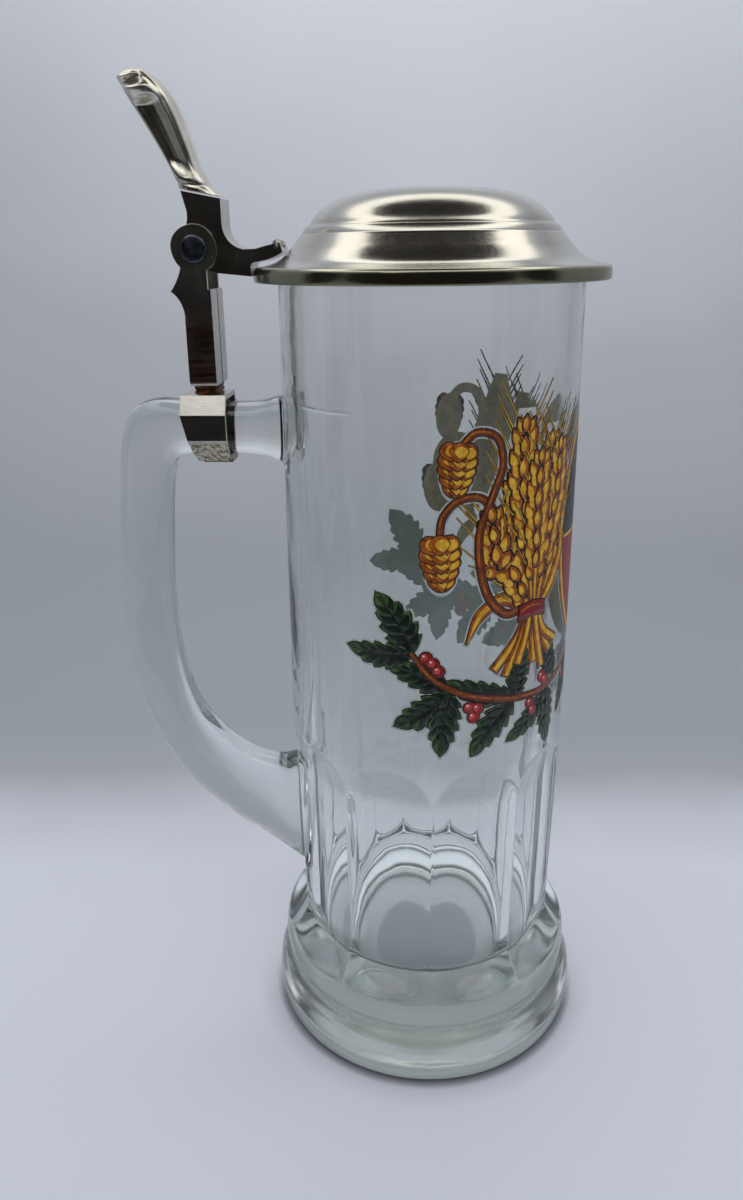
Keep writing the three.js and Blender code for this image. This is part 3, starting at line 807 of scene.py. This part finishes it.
def draw_sheaf():
    """Ears tied by a red band, with cut ends that spread below it and three loose blades."""
    tie_z = 112.5
    for root_x, top, bend, level in (
            (-25.0, (-31.5, 143.0), 2.0, 1), (-25.6, (-22.0, 149.0), -1.0, 2),
            (-25.2, (-17.2, 139.0), -2.2, 1), (-26.6, (-37.2, 136.0), 3.0, 3),
            (-26.0, (-29.6, 152.5), 1.4, 4), (-25.0, (-18.6, 147.5), -1.6, 5),
            (-25.6, (-25.0, 146.0), 0.3, 6)):
        draw_ear((root_x, tie_z), top, bend, level)
    for k, end in enumerate([(-35.2, 101.0), (-32.4, 99.2), (-29.6, 101.2), (-27.4, 98.4), (-25.0, 100.6),
                             (-22.4, 98.8), (-19.6, 101.6), (-17.6, 103.4)]):
        middle = (-26.0 + (end[0] + 26.0) * 0.42, 107.4)
        draw_blade([(-26.0 + (k - 3.5) * 0.45, tie_z), middle, end], (1.5, 1.9, 2.3), 2 + k % 3)
    draw_blade([(-28.0, tie_z), (-33.5, 116.0), (-38.4, 113.4), (-41.2, 107.6)], (1.2, 2.7, 2.2, 0.3), 1)
    draw_blade([(-24.0, tie_z), (-19.8, 117.4), (-17.0, 123.0), (-17.8, 129.0)], (1.2, 2.9, 2.4, 0.3), 3)
    draw_blade([(-27.0, 112.0), (-31.2, 118.6), (-33.6, 125.0), (-33.0, 131.0)], (1.2, 2.6, 2.2, 0.3), 2)
    band = np.array([(-29.6, 113.6), (-26.0, 114.3), (-22.4, 113.6), (-22.2, 110.6), (-26.0, 111.2),
                     (-29.8, 110.6)])
    middle = np.mean(band, axis=0)
    add_ink("outline", (band - middle) * (1.07, 1.2) + middle, 0.084)
    add_ink("red", band, 0.088)
    thread = [(-29.2, 112.6), (-26.0, 113.3), (-22.8, 112.6)]
    add_ink("amber", ribbon(thread, (0.4, 0.5, 0.4), steps=12), 0.091)


def draw_hop_vine():
    draw_stem([(-28.6, 113.4), (-32.6, 112.8), (-36.4, 116.2), (-38.6, 122.6), (-39.0, 130.0), (-36.6, 137.0),
               (-34.6, 143.0), (-36.2, 148.0), (-40.2, 149.0), (-43.0, 146.6)], (1.7, 1.5, 1.3, 1.2), 4, 90)
    draw_stem([(-37.8, 121.4), (-35.4, 127.4), (-35.8, 133.4), (-39.0, 136.8), (-43.2, 136.6), (-46.2, 133.4),
               (-46.8, 129.2)], (1.3, 1.3, 1.2), 3, 70)
    draw_hop((-43.3, 147.0), -0.08)
    draw_hop((-46.8, 129.6), 0.06, 11.2, 3.2)


def draw_garland():
    """Spray of leaves and berries on a hanging twig. A leaf is base, tip, half width, bend and level."""
    draw_stem([(-52.0, 105.8), (-47.8, 100.4), (-42.0, 96.9), (-36.0, 95.0), (-29.0, 93.7), (-22.0, 93.3),
               (-15.0, 94.8), (-8.0, 96.6), (-0.1, 97.2)], (1.0, 1.5, 1.4, 1.2), 3.4, 100)
    for leaf in (
            ((-51.5, 106.0), (-59.1, 118.0), 3.5, -0.5, 1), ((-51.8, 105.4), (-65.4, 106.0), 2.7, 0.8, 2),
            ((-44.6, 97.4), (-57.0, 103.2), 2.7, -0.6, 1), ((-44.4, 97.0), (-55.3, 89.5), 3.3, 0.8, 2),
            ((-44.0, 96.8), (-46.0, 83.0), 3.1, -0.5, 3), ((-30.8, 94.4), (-45.2, 99.8), 2.6, 0.7, 2),
            ((-30.4, 93.6), (-39.6, 82.4), 3.2, -0.7, 1), ((-29.8, 93.8), (-27.4, 104.6), 2.7, 0.5, 3),
            ((-20.2, 92.8), (-31.5, 84.2), 2.6, 0.8, 1), ((-19.6, 92.8), (-18.6, 79.4), 2.9, -0.4, 2),
            ((-16.8, 95.4), (-22.8, 105.8), 2.9, 0.4, 1), ((-8.0, 96.2), (-13.6, 84.6), 3.0, 0.6, 3),
            ((-7.0, 96.8), (-3.2, 84.0), 2.9, -0.4, 1)):
        draw_leaf(*leaf)
    for centre in ((-49.1, 104.9), (-47.7, 103.6), (-46.6, 102.0), (-40.2, 93.6), (-38.4, 93.2),
                   (-39.3, 91.4), (-25.4, 91.4), (-24.6, 89.4), (-21.9, 96.4), (-20.6, 95.2), (-11.2, 93.0)):
        draw_berry(centre)


def draw_medallion():
    """Plain oval, black above and red below, in a gold border."""
    half_width, half_height, middle, inset = 17.2, 26.0, 125.0, 2.0
    for ink, grow, height in (("halo_gold", 0.6, 0.0121), ("outline", 0.3, 0.018),
                              ("amber", 0.0, 0.022), ("gold", -0.8, 0.025),
                              ("outline", -1.7, 0.028)):
        add_ink(ink, oval((0.0, middle), half_width + grow, half_height + grow, count=72), height)
    wide, tall = half_width - inset, half_height - inset
    for low, high, ink in ((middle + 0.4, middle + tall - 0.3, "black"),
                           (middle - tall + 0.3, middle - 0.4, "red")):
        heights = np.linspace(low, high, 20)
        edge = [(wide * math.sqrt(max(1 - ((z - middle) / tall) ** 2, 0)), z) for z in heights]
        add_ink(ink, [(-x, z) for x, z in edge] + edge[::-1], 0.031)
    bar = [(-15.1, middle), (0.0, middle), (15.1, middle)]
    add_ink("gold", ribbon(bar, (0.7, 0.7), steps=12), 0.033)


def make_picture():
    draw_sheaf()
    draw_hop_vine()
    draw_garland()
    draw_medallion()
    for colour, dark, light, scale in (
            ("outline", (9, 8, 7), (24, 19, 15), 700), ("black", (10, 9, 9), (30, 26, 22), 300),
            ("leaf_light", (18, 54, 26), (70, 112, 42), 520), ("leaf_dark", (5, 22, 14), (14, 44, 26), 420),
            ("red", (112, 12, 18), (170, 26, 30), 380), ("red_light", (190, 44, 44), (220, 84, 76), 500),
            ("white", (226, 222, 214), (246, 243, 236), 500), ("brown", (86, 38, 18), (128, 62, 28), 500),
            ("amber", (128, 54, 8), (196, 104, 14), 620), ("gold", (216, 150, 22), (252, 206, 60), 520)):
        ink_body(colour, ink_material(f"print_{colour}_ink", dark, light, scale))
    pale = ink_material("halo_ink", (176, 180, 176), (204, 207, 203), 500, 0.45)
    for colour, dark, light, scale in (
            ("leaf", (186, 204, 192), (204, 220, 210), 260), ("gold", (190, 182, 146), (232, 216, 164), 420),
            ("red", (208, 180, 180), (224, 196, 196), 300)):
        reverse = ink_material("reverse_" + colour, dark, light, scale, 0.4)
        ink_body("halo_" + colour, pale, reverse, HALO_BOTTOM)


# ---- lid ----

LID_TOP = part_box("lid_shell")[1].z / MM
LID_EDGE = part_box("lid_shell")[0].z / MM
LID_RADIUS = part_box("lid_shell")[1].x / MM
LID_SHEET = 0.9
SHOULDER_Z = LID_TOP - 8.25
SKIRT_Z = LID_TOP - 14.05


def offset_inwards(profile, distance):
    out = [(0.0, profile[0][1] - distance)]
    for before, (r, z), after in zip(profile, profile[1:], profile[2:] + profile[-1:]):
        dr, dz = after[0] - before[0], after[1] - before[1]
        length = math.hypot(dr, dz)
        out.append((r + distance * dz / length, z - distance * dr / length))
    return out


def make_lid():
    dome = catmull([
        (0, LID_TOP), (5, LID_TOP - 0.02), (10, LID_TOP - 0.18), (14.5, LID_TOP - 0.75),
        (18.6, LID_TOP - 1.95), (21.6, LID_TOP - 3.6), (23.5, LID_TOP - 5.4), (24.2, LID_TOP - 6.45)], 46)
    bead = catmull([
        (24.2, SHOULDER_Z + 1.8), (24.42, SHOULDER_Z + 1.6), (24.75, SHOULDER_Z + 1.5),
        (25.2, SHOULDER_Z + 1.0), (25.6, SHOULDER_Z + 0.35), (25.68, SHOULDER_Z + 0.15),
        (25.85, SHOULDER_Z)], 14)[1:]
    skirt = catmull([
        (25.85, SHOULDER_Z), (27.0, SHOULDER_Z - 1.35), (28.4, SHOULDER_Z - 2.95), (30.6, SHOULDER_Z - 4.75),
        (33.1, SHOULDER_Z - 5.6), (34.3, SKIRT_Z)], 34)[1:]
    edge = catmull([
        (34.3, SKIRT_Z), (34.9, SKIRT_Z - 0.05), (LID_RADIUS - 0.2, SKIRT_Z - 0.35),
        (LID_RADIUS, SKIRT_Z - 0.95), (LID_RADIUS, LID_EDGE + 0.45), (LID_RADIUS - 0.12, LID_EDGE + 0.12),
        (LID_RADIUS - 0.4, LID_EDGE)], 22)[1:]
    outer = [tuple(p) for p in np.vstack([dome, bead, skirt])]
    outer[0] = (0.0, outer[0][1])
    back = [(LID_RADIUS - 0.8, LID_EDGE + 0.15), (LID_RADIUS - 0.9, LID_EDGE + 0.6),
            (LID_RADIUS - 0.95, 176.0)]
    profile = outer + [tuple(p) for p in edge] + back + offset_inwards(outer, LID_SHEET)[::-1]
    obj = lathe("lid_shell_fine", profile, 256)
    dress(obj, lid_material())
    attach(obj, "lid")
    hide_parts("lid_shell")


# ---- mount: cast and folded pieces with rounded edges ----

PIN_X, PIN_Z = -46.7, 180.8
PIN_HOLE = 1.95
EAR_RADIUS = 4.6
KNUCKLE_RADIUS = EAR_RADIUS - 0.2
BRACKET_HALF = 4.2
SHANK_HALF = 5.6
SHANK_SHEET = 1.1
SHANK_BACK, SHANK_FRONT, SHANK_LOW, WEB_TOP = -49.6, -43.9, 154.2, 173.2


def curve(outline, steps, *controls):
    """Continues an outline with a curve that starts at its last point."""
    outline += bezier([outline[-1], *controls], steps)


def drill_pin_hole(obj):
    profile = [(0, -9), (PIN_HOLE, -9), (PIN_HOLE, 9), (0, 9)]
    carve(obj, lathe("hole", profile, 48, "y", (PIN_X, 0, PIN_Z)))


def lump(bm, centre, radius, seed):
    """Irregular cast lump."""
    centre = Vector(centre) * MM
    place = Matrix.Translation(centre)
    made = bmesh.ops.create_icosphere(bm, subdivisions=3, radius=radius * MM, matrix=place)
    for v in made["verts"]:
        away = (v.co - centre).normalized()
        wave = math.sin(7 * away.x + seed) * math.sin(6 * away.y + 2.1 * seed) * math.sin(8 * away.z - seed)
        v.co += away * radius * MM * 0.32 * wave


def bracket_outline():
    """Plate above the pin, knuckle round it, and tongue that lies on the lid."""
    edge = LID_RADIUS + 0.35
    start = math.atan2(math.sqrt(KNUCKLE_RADIUS**2 - 1.6**2), -1.6)
    outline = [(-48.8, 191.4), (-47.9, 187.8)]
    curve(outline, 8, (-47.7, 186.4),
          (PIN_X + KNUCKLE_RADIUS * math.cos(start), PIN_Z + KNUCKLE_RADIUS * math.sin(start)))
    outline += arc(PIN_X, PIN_Z, KNUCKLE_RADIUS, start, 1.5 * math.pi + 0.5, 48)[1:]
    outline += [(-42.6, 176.2), (-edge, 175.5), (-edge, 177.3)]
    curve(outline, 10, (-edge + 0.15, 178.3), (-34.2, 178.3))
    curve(outline, 8, (-31.6, 178.6), (-29.3, 180.0))
    outline.append((-29.8, 181.8))
    curve(outline, 8, (-33.0, 181.2), (-34.6, 180.7))
    outline.append((-37.0, 180.6))
    curve(outline, 16, (-39.6, 181.0), (-41.3, 183.2), (-41.1, 186.0))
    outline.append((-41.1, 189.9))
    return outline


def make_bracket():
    obj = plate("lid_bracket_fine", bracket_outline(), -BRACKET_HALF, BRACKET_HALF)
    drill_pin_hole(obj)
    # seam where the tongue was joined
    for side in (-1, 1):
        carve(obj, plate("seam", [(-38.35, 174.0), (-38.2, 174.0), (-38.45, 183.0), (-38.6, 183.0)],
                         side * BRACKET_HALF - 0.14, side * BRACKET_HALF + 0.3))
    # rough cast lumps at the tip of the tongue, in two rows of eight
    bm = bmesh.new()
    bm.from_mesh(obj.data)
    smooth_faces = len(bm.faces)
    for k in range(16):
        row, column = divmod(k, 8)
        x = -30.3 - 0.55 * row + 0.3 * math.sin(5 * k)
        place = (x, -3.7 + 7.4 * column / 7, 181.3 + 0.35 * math.sin(3 * k))
        lump(bm, place, 0.62 + 0.16 * math.sin(2.3 * k), k)
    bm.faces.ensure_lookup_table()
    for face in bm.faces[smooth_faces:]:
        face.material_index = 1
    bm.to_mesh(obj.data)
    bm.free()
    round_edges(obj, 0.22)
    dress(obj, mount_shade("polished_mount", (150, 147, 141), (188, 185, 178), 0.12, 0.22).material,
          rough_metal_material("cast_tip", (120, 108, 78), (226, 218, 190), 0.25, 0.0001))
    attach(obj, "lid")
    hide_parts("lid_bracket")


def make_shank():
    outline = [(SHANK_FRONT, SHANK_LOW), (SHANK_FRONT, WEB_TOP), (-44.5, WEB_TOP)]
    ear = arc(PIN_X, PIN_Z, EAR_RADIUS, 0.5 - 0.5 * math.pi, 1.5 * math.pi - 0.72, 84)
    # the ear is filed a little flat on the grip's side
    outline += [(x - 0.12 * math.sin(3 * math.atan2(z - PIN_Z, x - PIN_X)), z) for x, z in ear]
    curve(outline, 8, (-50.2, 175.2), (-52.0, 172.8))
    curve(outline, 10, (-50.0, 171.4), (SHANK_BACK + 0.1, 168.6))
    outline.append((SHANK_BACK, SHANK_LOW))
    inside = SHANK_HALF - SHANK_SHEET
    obj = plate("shank_fine", outline, -SHANK_HALF, -inside)
    carve(obj, plate("far", outline, inside, SHANK_HALF), "UNION")

    def upright(back, front, beyond):
        low, high = SHANK_LOW - beyond, WEB_TOP + beyond
        return [(back, low), (front, low), (front, high), (back, high)]

    web = upright(SHANK_FRONT - SHANK_SHEET, SHANK_FRONT, 0)
    carve(obj, plate("web", web, -inside - 0.1, inside + 0.1), "UNION")
    drill_pin_hole(obj)
    # seam where the two folded halves of the web meet
    carve(obj, plate("seam", upright(SHANK_FRONT - 0.45, SHANK_FRONT + 1, 1), 0.1, 0.62))
    # slanted lower edge of both cheeks
    for side in (-1, 1):
        wedge = [(SHANK_HALF + 0.01, SHANK_LOW + 1.1), (SHANK_HALF + 0.01, SHANK_LOW - 0.1),
                 (SHANK_HALF - 0.6, SHANK_LOW - 0.1)]
        carve(obj, tube("wedge", [[(x, side * y, z) for y, z in wedge] for x in (-60, -30)]))
    round_edges(obj, 0.2)
    shade = mount_shade("scratched_shank", (158, 157, 150), (192, 190, 182), 0.2, 0.3,
                        tint=(196, 124, 108), scratches=1500)
    dress(obj, shade.material)
    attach(obj, "stein")
    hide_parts("shank")


# Sections from the foot to the tip: back x, z, front x, z, half width along Y.
THUMB_SECTIONS = [
    (-49.7, 191.9, -41.4, 190.3, 4.2), (-50.1, 193.2, -43.4, 192.4, 4.2), (-51.5, 196.4, -45.7, 196.0, 4.5),
    (-52.9, 199.1, -46.7, 199.1, 4.9), (-54.3, 201.6, -47.6, 202.1, 5.3), (-55.7, 204.0, -48.6, 205.1, 5.7),
    (-57.2, 206.4, -49.9, 207.9, 5.9), (-58.5, 208.7, -51.8, 210.3, 5.7), (-59.5, 210.5, -54.2, 212.2, 5.0),
    (-59.85, 211.3, -56.6, 212.85, 3.4), (-59.7, 211.9, -58.0, 212.75, 1.4)]
THUMB_SIDES = 128
THUMB_STATIONS = 130


def thumb_ring(t, back_x, back_z, front_x, front_z, half):
    """Section at a share t of the length: ridged in front, hollow flanks, two scrolls near the tip."""
    centre = np.array([(back_x + front_x) / 2, (back_z + front_z) / 2])
    reach = np.array([(front_x - back_x) / 2, (front_z - back_z) / 2])
    hollow = 0.38 * smoothstep(t, 0.10, 0.24) * (1 - smoothstep(t, 0.60, 0.67))
    scrolls = 0.20 * bell(t, 0.72, 0.05) + 0.20 * bell(t, 0.86, 0.055) - 0.18 * bell(t, 0.785, 0.022)
    dents = bell(t, 0.755, 0.022) + bell(t, 0.865, 0.028)
    collar = 0.05 * bell(t, 0.075, 0.02)
    ridge_depth = 0.035 * smoothstep(t, 0.08, 0.22) * (1 - smoothstep(t, 0.9, 1))
    ring = []
    for side in range(THUMB_SIDES):
        angle = 2 * math.pi * side / THUMB_SIDES
        along, across = squarish(angle, 0.72)
        off_front = 180 - abs(180 - math.degrees(angle))
        flank = bell(off_front, 100, 36)
        ridges = ridge_depth * math.cos(10 * angle) * smoothstep(math.cos(angle), 0.25, 0.8)
        size = 1 + ridges + flank * scrolls - collar - 0.13 * dents * bell(off_front, 92, 15)
        x, z = centre + reach * along * size
        ring.append((x, across * half * size * (1 - flank * hollow), z))
    return ring


def make_thumb_lift():
    last = THUMB_STATIONS - 1
    obj = tube("thumb_lift_fine", [
        thumb_ring(k / last, *section) for k, section in enumerate(catmull(THUMB_SECTIONS, THUMB_STATIONS))])
    # two copies of one metal: the satin one is rougher and coloured lighter as a painted highlight, the
    # polished one coloured darker as a painted shade
    polished_painted_shade = mount_shade("polished_thumb_lift_painted_shade", (184, 181, 166), (214, 211, 197), 0.17, 0.24, (1, 1, 14))
    satin_painted_highlight = mount_shade("satin_thumb_lift_painted_highlight", (196, 193, 180), (226, 223, 211), 0.27, 0.35, (1, 1, 14))
    dress(obj, polished_painted_shade.material, satin_painted_highlight.material)
    # the ridged front and the scrolled tip are satin and coloured lighter, a painted highlight; the hollow
    # flanks are polished and coloured darker, a painted shade
    for face in obj.data.polygons[:last * THUMB_SIDES]:
        station, side = divmod(face.index, THUMB_SIDES)
        in_front = math.cos(2 * math.pi * (side + 0.5) / THUMB_SIDES) > 0.12
        if in_front or station > 0.69 * last:
            face.material_index = 1
    round_edges(obj, 0.12, 2, 50)
    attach(obj, "lid")
    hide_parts("thumb_lift")


def make_rivet(radius=2.6, neck=SHANK_HALF + 0.3, head=0.45):
    top = neck + head
    side = [(radius * 0.5, top), (radius - 0.35, top - 0.02), (radius - 0.1, top - 0.12), (radius, top - 0.3),
            (radius, neck + 0.02), (1.8, neck)]
    profile = [(0, top)] + side + [(r, -y) for r, y in reversed(side)] + [(0, -top)]
    obj = lathe("hinge_rivet_fine", profile, 72, "y", (PIN_X, 0, PIN_Z))
    dress(obj, rough_metal_material("peened_rivet", (70, 78, 88), (106, 114, 126), 0.24, 0.00004))
    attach(obj, "stein")
    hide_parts("hinge_rivet")


def make_braze(rows=11, sides=96):
    """Irregular bead of braze under the shank, inside the space of its block."""
    low, high = [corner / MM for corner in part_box("brazed_foot")]
    centre, half = (low + high) / 2, (high - low) / 2
    rings = []
    for k in range(rows):
        t = k / (rows - 1)
        ring = []
        for side in range(sides):
            angle = 2 * math.pi * side / sides
            x, y = squarish(angle, 0.35)
            waist = 0.94 + 0.05 * math.cos(2 * math.pi * t)
            rough = 0.022 * math.sin(11 * angle + 3 * t) + 0.016 * math.sin(23 * angle - 7 * t)
            size = min(waist + rough, 1.0)
            ring.append((centre.x + x * size * half.x, centre.y + y * size * half.y, low.z + 2 * half.z * t))
        rings.append(ring)
    obj = tube("brazed_foot_fine", rings)
    dress(obj, rough_metal_material("dark_braze", (60, 38, 24), (120, 80, 48), 0.42, 0.0002))
    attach(obj, "stein")
    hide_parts("brazed_foot")


def finish_clamp():
    """The clamp is the CAD node itself, with softened edges."""
    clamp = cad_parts["handle_clamp"]
    round_edges(clamp, 0.22)
    dress(clamp, clamp_material())


# ---- floor and surroundings ----

COVE_START = 300
COVE_RADIUS = 260
FLOOR_SEGMENTS = 96


def floor_material():
    shade = Shade("floor_paper_painted_light_and_shade")
    place = shade.node("NewGeometry").outputs["Position"]
    from_axis = shade.from_axis(place)
    y = shade.axis(place, "Y")
    # painted shade: the paper is coloured darker from the table to the middle of the wall and lighter again
    # above it, standing in for the studio light falling off
    around = shade.math("MULTIPLY", shade.math("SUBTRACT", from_axis, 0.12), 0.8)
    height = shade.math("MULTIPLY", shade.axis(place, "Z"), 0.6)
    reach = shade.math("ADD", shade.math("MAXIMUM", y, around), height)
    mottle = shade.range(shade.noise(place, 6.0, 3), 0.3, 0.7, -0.012, 0.012)
    paper_painted_shade = shade.ramp(
        shade.range(shade.math("ADD", reach, mottle), 0.0, 0.9),
        (0.048, linear(216, 221, 233)), (0.082, linear(200, 205, 215)), (0.112, linear(166, 171, 179)),
        (0.15, linear(157, 164, 172)), (0.37, linear(157, 163, 170)), (0.62, linear(182, 185, 192)),
        (0.86, linear(238, 241, 248)))
    # painted shadow and light under and round the foot, by distance from the axis: a painted contact shadow,
    # darker on the near side, and painted light and dark rings as seen through the glass base
    away = shade.range(from_axis, 0.0, 0.1)
    far_painted_shade = shade.greys(
        away, (0.0, 0.76), (0.142, 0.72), (0.158, 0.92), (0.252, 0.96), (0.264, 0.25, 0.26),
        (0.303, 0.25, 0.26), (0.315, 1.0), (0.46, 1.0))
    near_painted_shade = shade.greys(
        away, (0.0, 0.8), (0.142, 0.78), (0.158, 0.84), (0.24, 0.66), (0.30, 0.34, 0.35), (0.366, 0.2),
        (0.378, 0.44), (0.39, 0.86), (0.44, 1.0))
    painted_foot_shade = shade.mix(shade.range(y, -0.012, 0.004), near_painted_shade, far_painted_shade)
    colour = shade.mix(1.0, paper_painted_shade, painted_foot_shade, blend="MULTIPLY")
    # painted light: the floor glows a little everywhere and more in rings under the far half of the foot,
    # standing in for light that the glass gathers there
    glow = shade.greys(
        away, (0.0, 0.26), (0.14, 0.24), (0.16, 0.32), (0.252, 0.32), (0.264, 0.15), (0.303, 0.15),
        (0.32, 0.95), (0.36, 0.9), (0.376, 0.17))
    painted_near_glow = shade.range(from_axis, 0.034, 0.04, 0.07, 0.17)
    painted_glow_strength = shade.mix(shade.range(y, -0.016, 0.006), painted_near_glow, glow, "FLOAT")
    # painted light: the floor emits its own colour at the painted glow strength
    shade.feed(shade.shader, Roughness=0.6, Base_Color=colour, Emission_Color=colour,
               Emission_Strength=painted_glow_strength)
    return shade.material


def make_floor():
    """Pale floor that curves up into a round wall, all in one sheet."""
    profile = [(radius, 0) for radius in (20, 40, 60, 90, 130, 180, 240, COVE_START)]
    profile += [(COVE_START + COVE_RADIUS * math.sin(turn), COVE_RADIUS * (1 - math.cos(turn)))
                for turn in np.linspace(0, math.pi / 2, 17)[1:]]
    profile += [(COVE_START + COVE_RADIUS, z) for z in (320, 420, 560, 700, 900)]
    drop = 0.05
    verts = [(0, 0, -drop)]
    for radius, z in profile:
        verts += circle(radius, z - drop, FLOOR_SEGMENTS)
    faces = [(0, 1 + i, 1 + (i + 1) % FLOOR_SEGMENTS) for i in range(FLOOR_SEGMENTS)]
    for k in range(len(profile) - 1):
        faces += ring_faces(1 + (k + 1) * FLOOR_SEGMENTS, 1 + k * FLOOR_SEGMENTS, FLOOR_SEGMENTS)
    obj = make_object("floor", verts, faces)
    dress(obj, floor_material())


def emission_material(name, colour, strength):
    shade = Shade(name)
    shade.tree.nodes.remove(shade.shader)
    glow = shade.node("Emission", Color=linear(*colour), Strength=strength)
    shade.feed(shade.output, Surface=glow.outputs["Emission"])
    return shade.material


def make_ring_light(inner=222, outer=385, height=560, segments=64):
    """Soft ring lamp above the lid."""
    verts = circle(inner, height, segments) + circle(outer, height, segments)
    obj = make_object("ring_lamp", verts, ring_faces(0, segments, segments))
    dress(obj, emission_material("ring_lamp_glow", (255, 252, 246), 1.95))
    obj.visible_camera = False


def make_card(name, low, high, material, transmission=False):
    """Flat upright or level card between two corners, seen only in reflections unless it transmits."""
    first, second = [axis for axis in range(3) if low[axis] != high[axis]]
    corners = []
    for a, b in ((low, low), (high, low), (high, high), (low, high)):
        corner = list(low)
        corner[first], corner[second] = a[first], b[second]
        corners.append(corner)
    obj = make_object(name, corners, [(0, 1, 2, 3)])
    dress(obj, material)
    obj.visible_camera = False
    obj.visible_diffuse = False
    obj.visible_shadow = False
    obj.visible_transmission = transmission


def make_surroundings():
    make_floor()
    make_ring_light()
    for name, low, high, strength in (("strip_lamp", (-195, -329, 396), (-95, -329, 421), 3.0),
                                      ("line_lamp", (-182, -328, 404), (-100, -328, 406.5), 26.0)):
        make_card(name, low, high, emission_material(name + "_glow", (255, 253, 249), strength))
    dark = emission_material("dark_room", (38, 36, 34), 1.0)
    make_card("dark_opening", (-420, -330, 1), (420, -330, 400), dark)
    make_card("dark_table", (-420, -330, 1), (420, -190, 1), dark)
    make_card("dark_ceiling", (-222, -222, 570), (222, 222, 570), dark)
    for x in (-440, 440):
        make_card("dark_side", (x, -320, 60), (x, -70, 420), dark, transmission=True)
    world = bpy.data.worlds.new("studio")
    world.use_nodes = True
    background = world.node_tree.nodes["Background"]
    background.inputs["Color"].default_value = linear(205, 208, 217)
    background.inputs["Strength"].default_value = 0.30
    scene = bpy.context.scene
    scene.world = world
    scene.view_settings.view_transform = "Standard"
    scene.cycles.glossy_bounces = 10
    scene.cycles.transmission_bounces = 16
    scene.cycles.max_bounces = 18


# ---- camera ----

CAMERA_PLACE = (0, -0.19696, 0.18)
CAMERA_TILT, CAMERA_PAN, CAMERA_ROLL = 0.36255, -0.06479, -0.012013


def make_camera():
    """Camera 197 mm in front of the mug's axis at the lid's height, tilted down 20.8 degrees."""
    level = Vector((math.sin(CAMERA_PAN), math.cos(CAMERA_PAN), 0))
    forward = level * math.cos(CAMERA_TILT) - Vector((0, 0, math.sin(CAMERA_TILT)))
    right = Vector((level.y, -level.x, 0))
    up = right.cross(forward)
    rolled_right = right * math.cos(CAMERA_ROLL) + up * math.sin(CAMERA_ROLL)
    rolled_up = up * math.cos(CAMERA_ROLL) - right * math.sin(CAMERA_ROLL)
    data = bpy.data.cameras.new("camera")
    data.sensor_fit = "VERTICAL"
    data.sensor_width = 36
    data.sensor_height = 36
    data.lens = 27.6
    data.clip_start = 0.005
    camera = bpy.data.objects.new("camera", data)
    bpy.context.scene.collection.objects.link(camera)
    rotation = Matrix((rolled_right, rolled_up, -forward)).transposed().to_4x4()
    camera.matrix_world = Matrix.Translation(CAMERA_PLACE) @ rotation
    bpy.context.scene.camera = camera


make_glass()
make_picture()
make_lid()
make_bracket()
make_shank()
make_thumb_lift()
make_rivet()
make_braze()
finish_clamp()
make_surroundings()
make_camera()
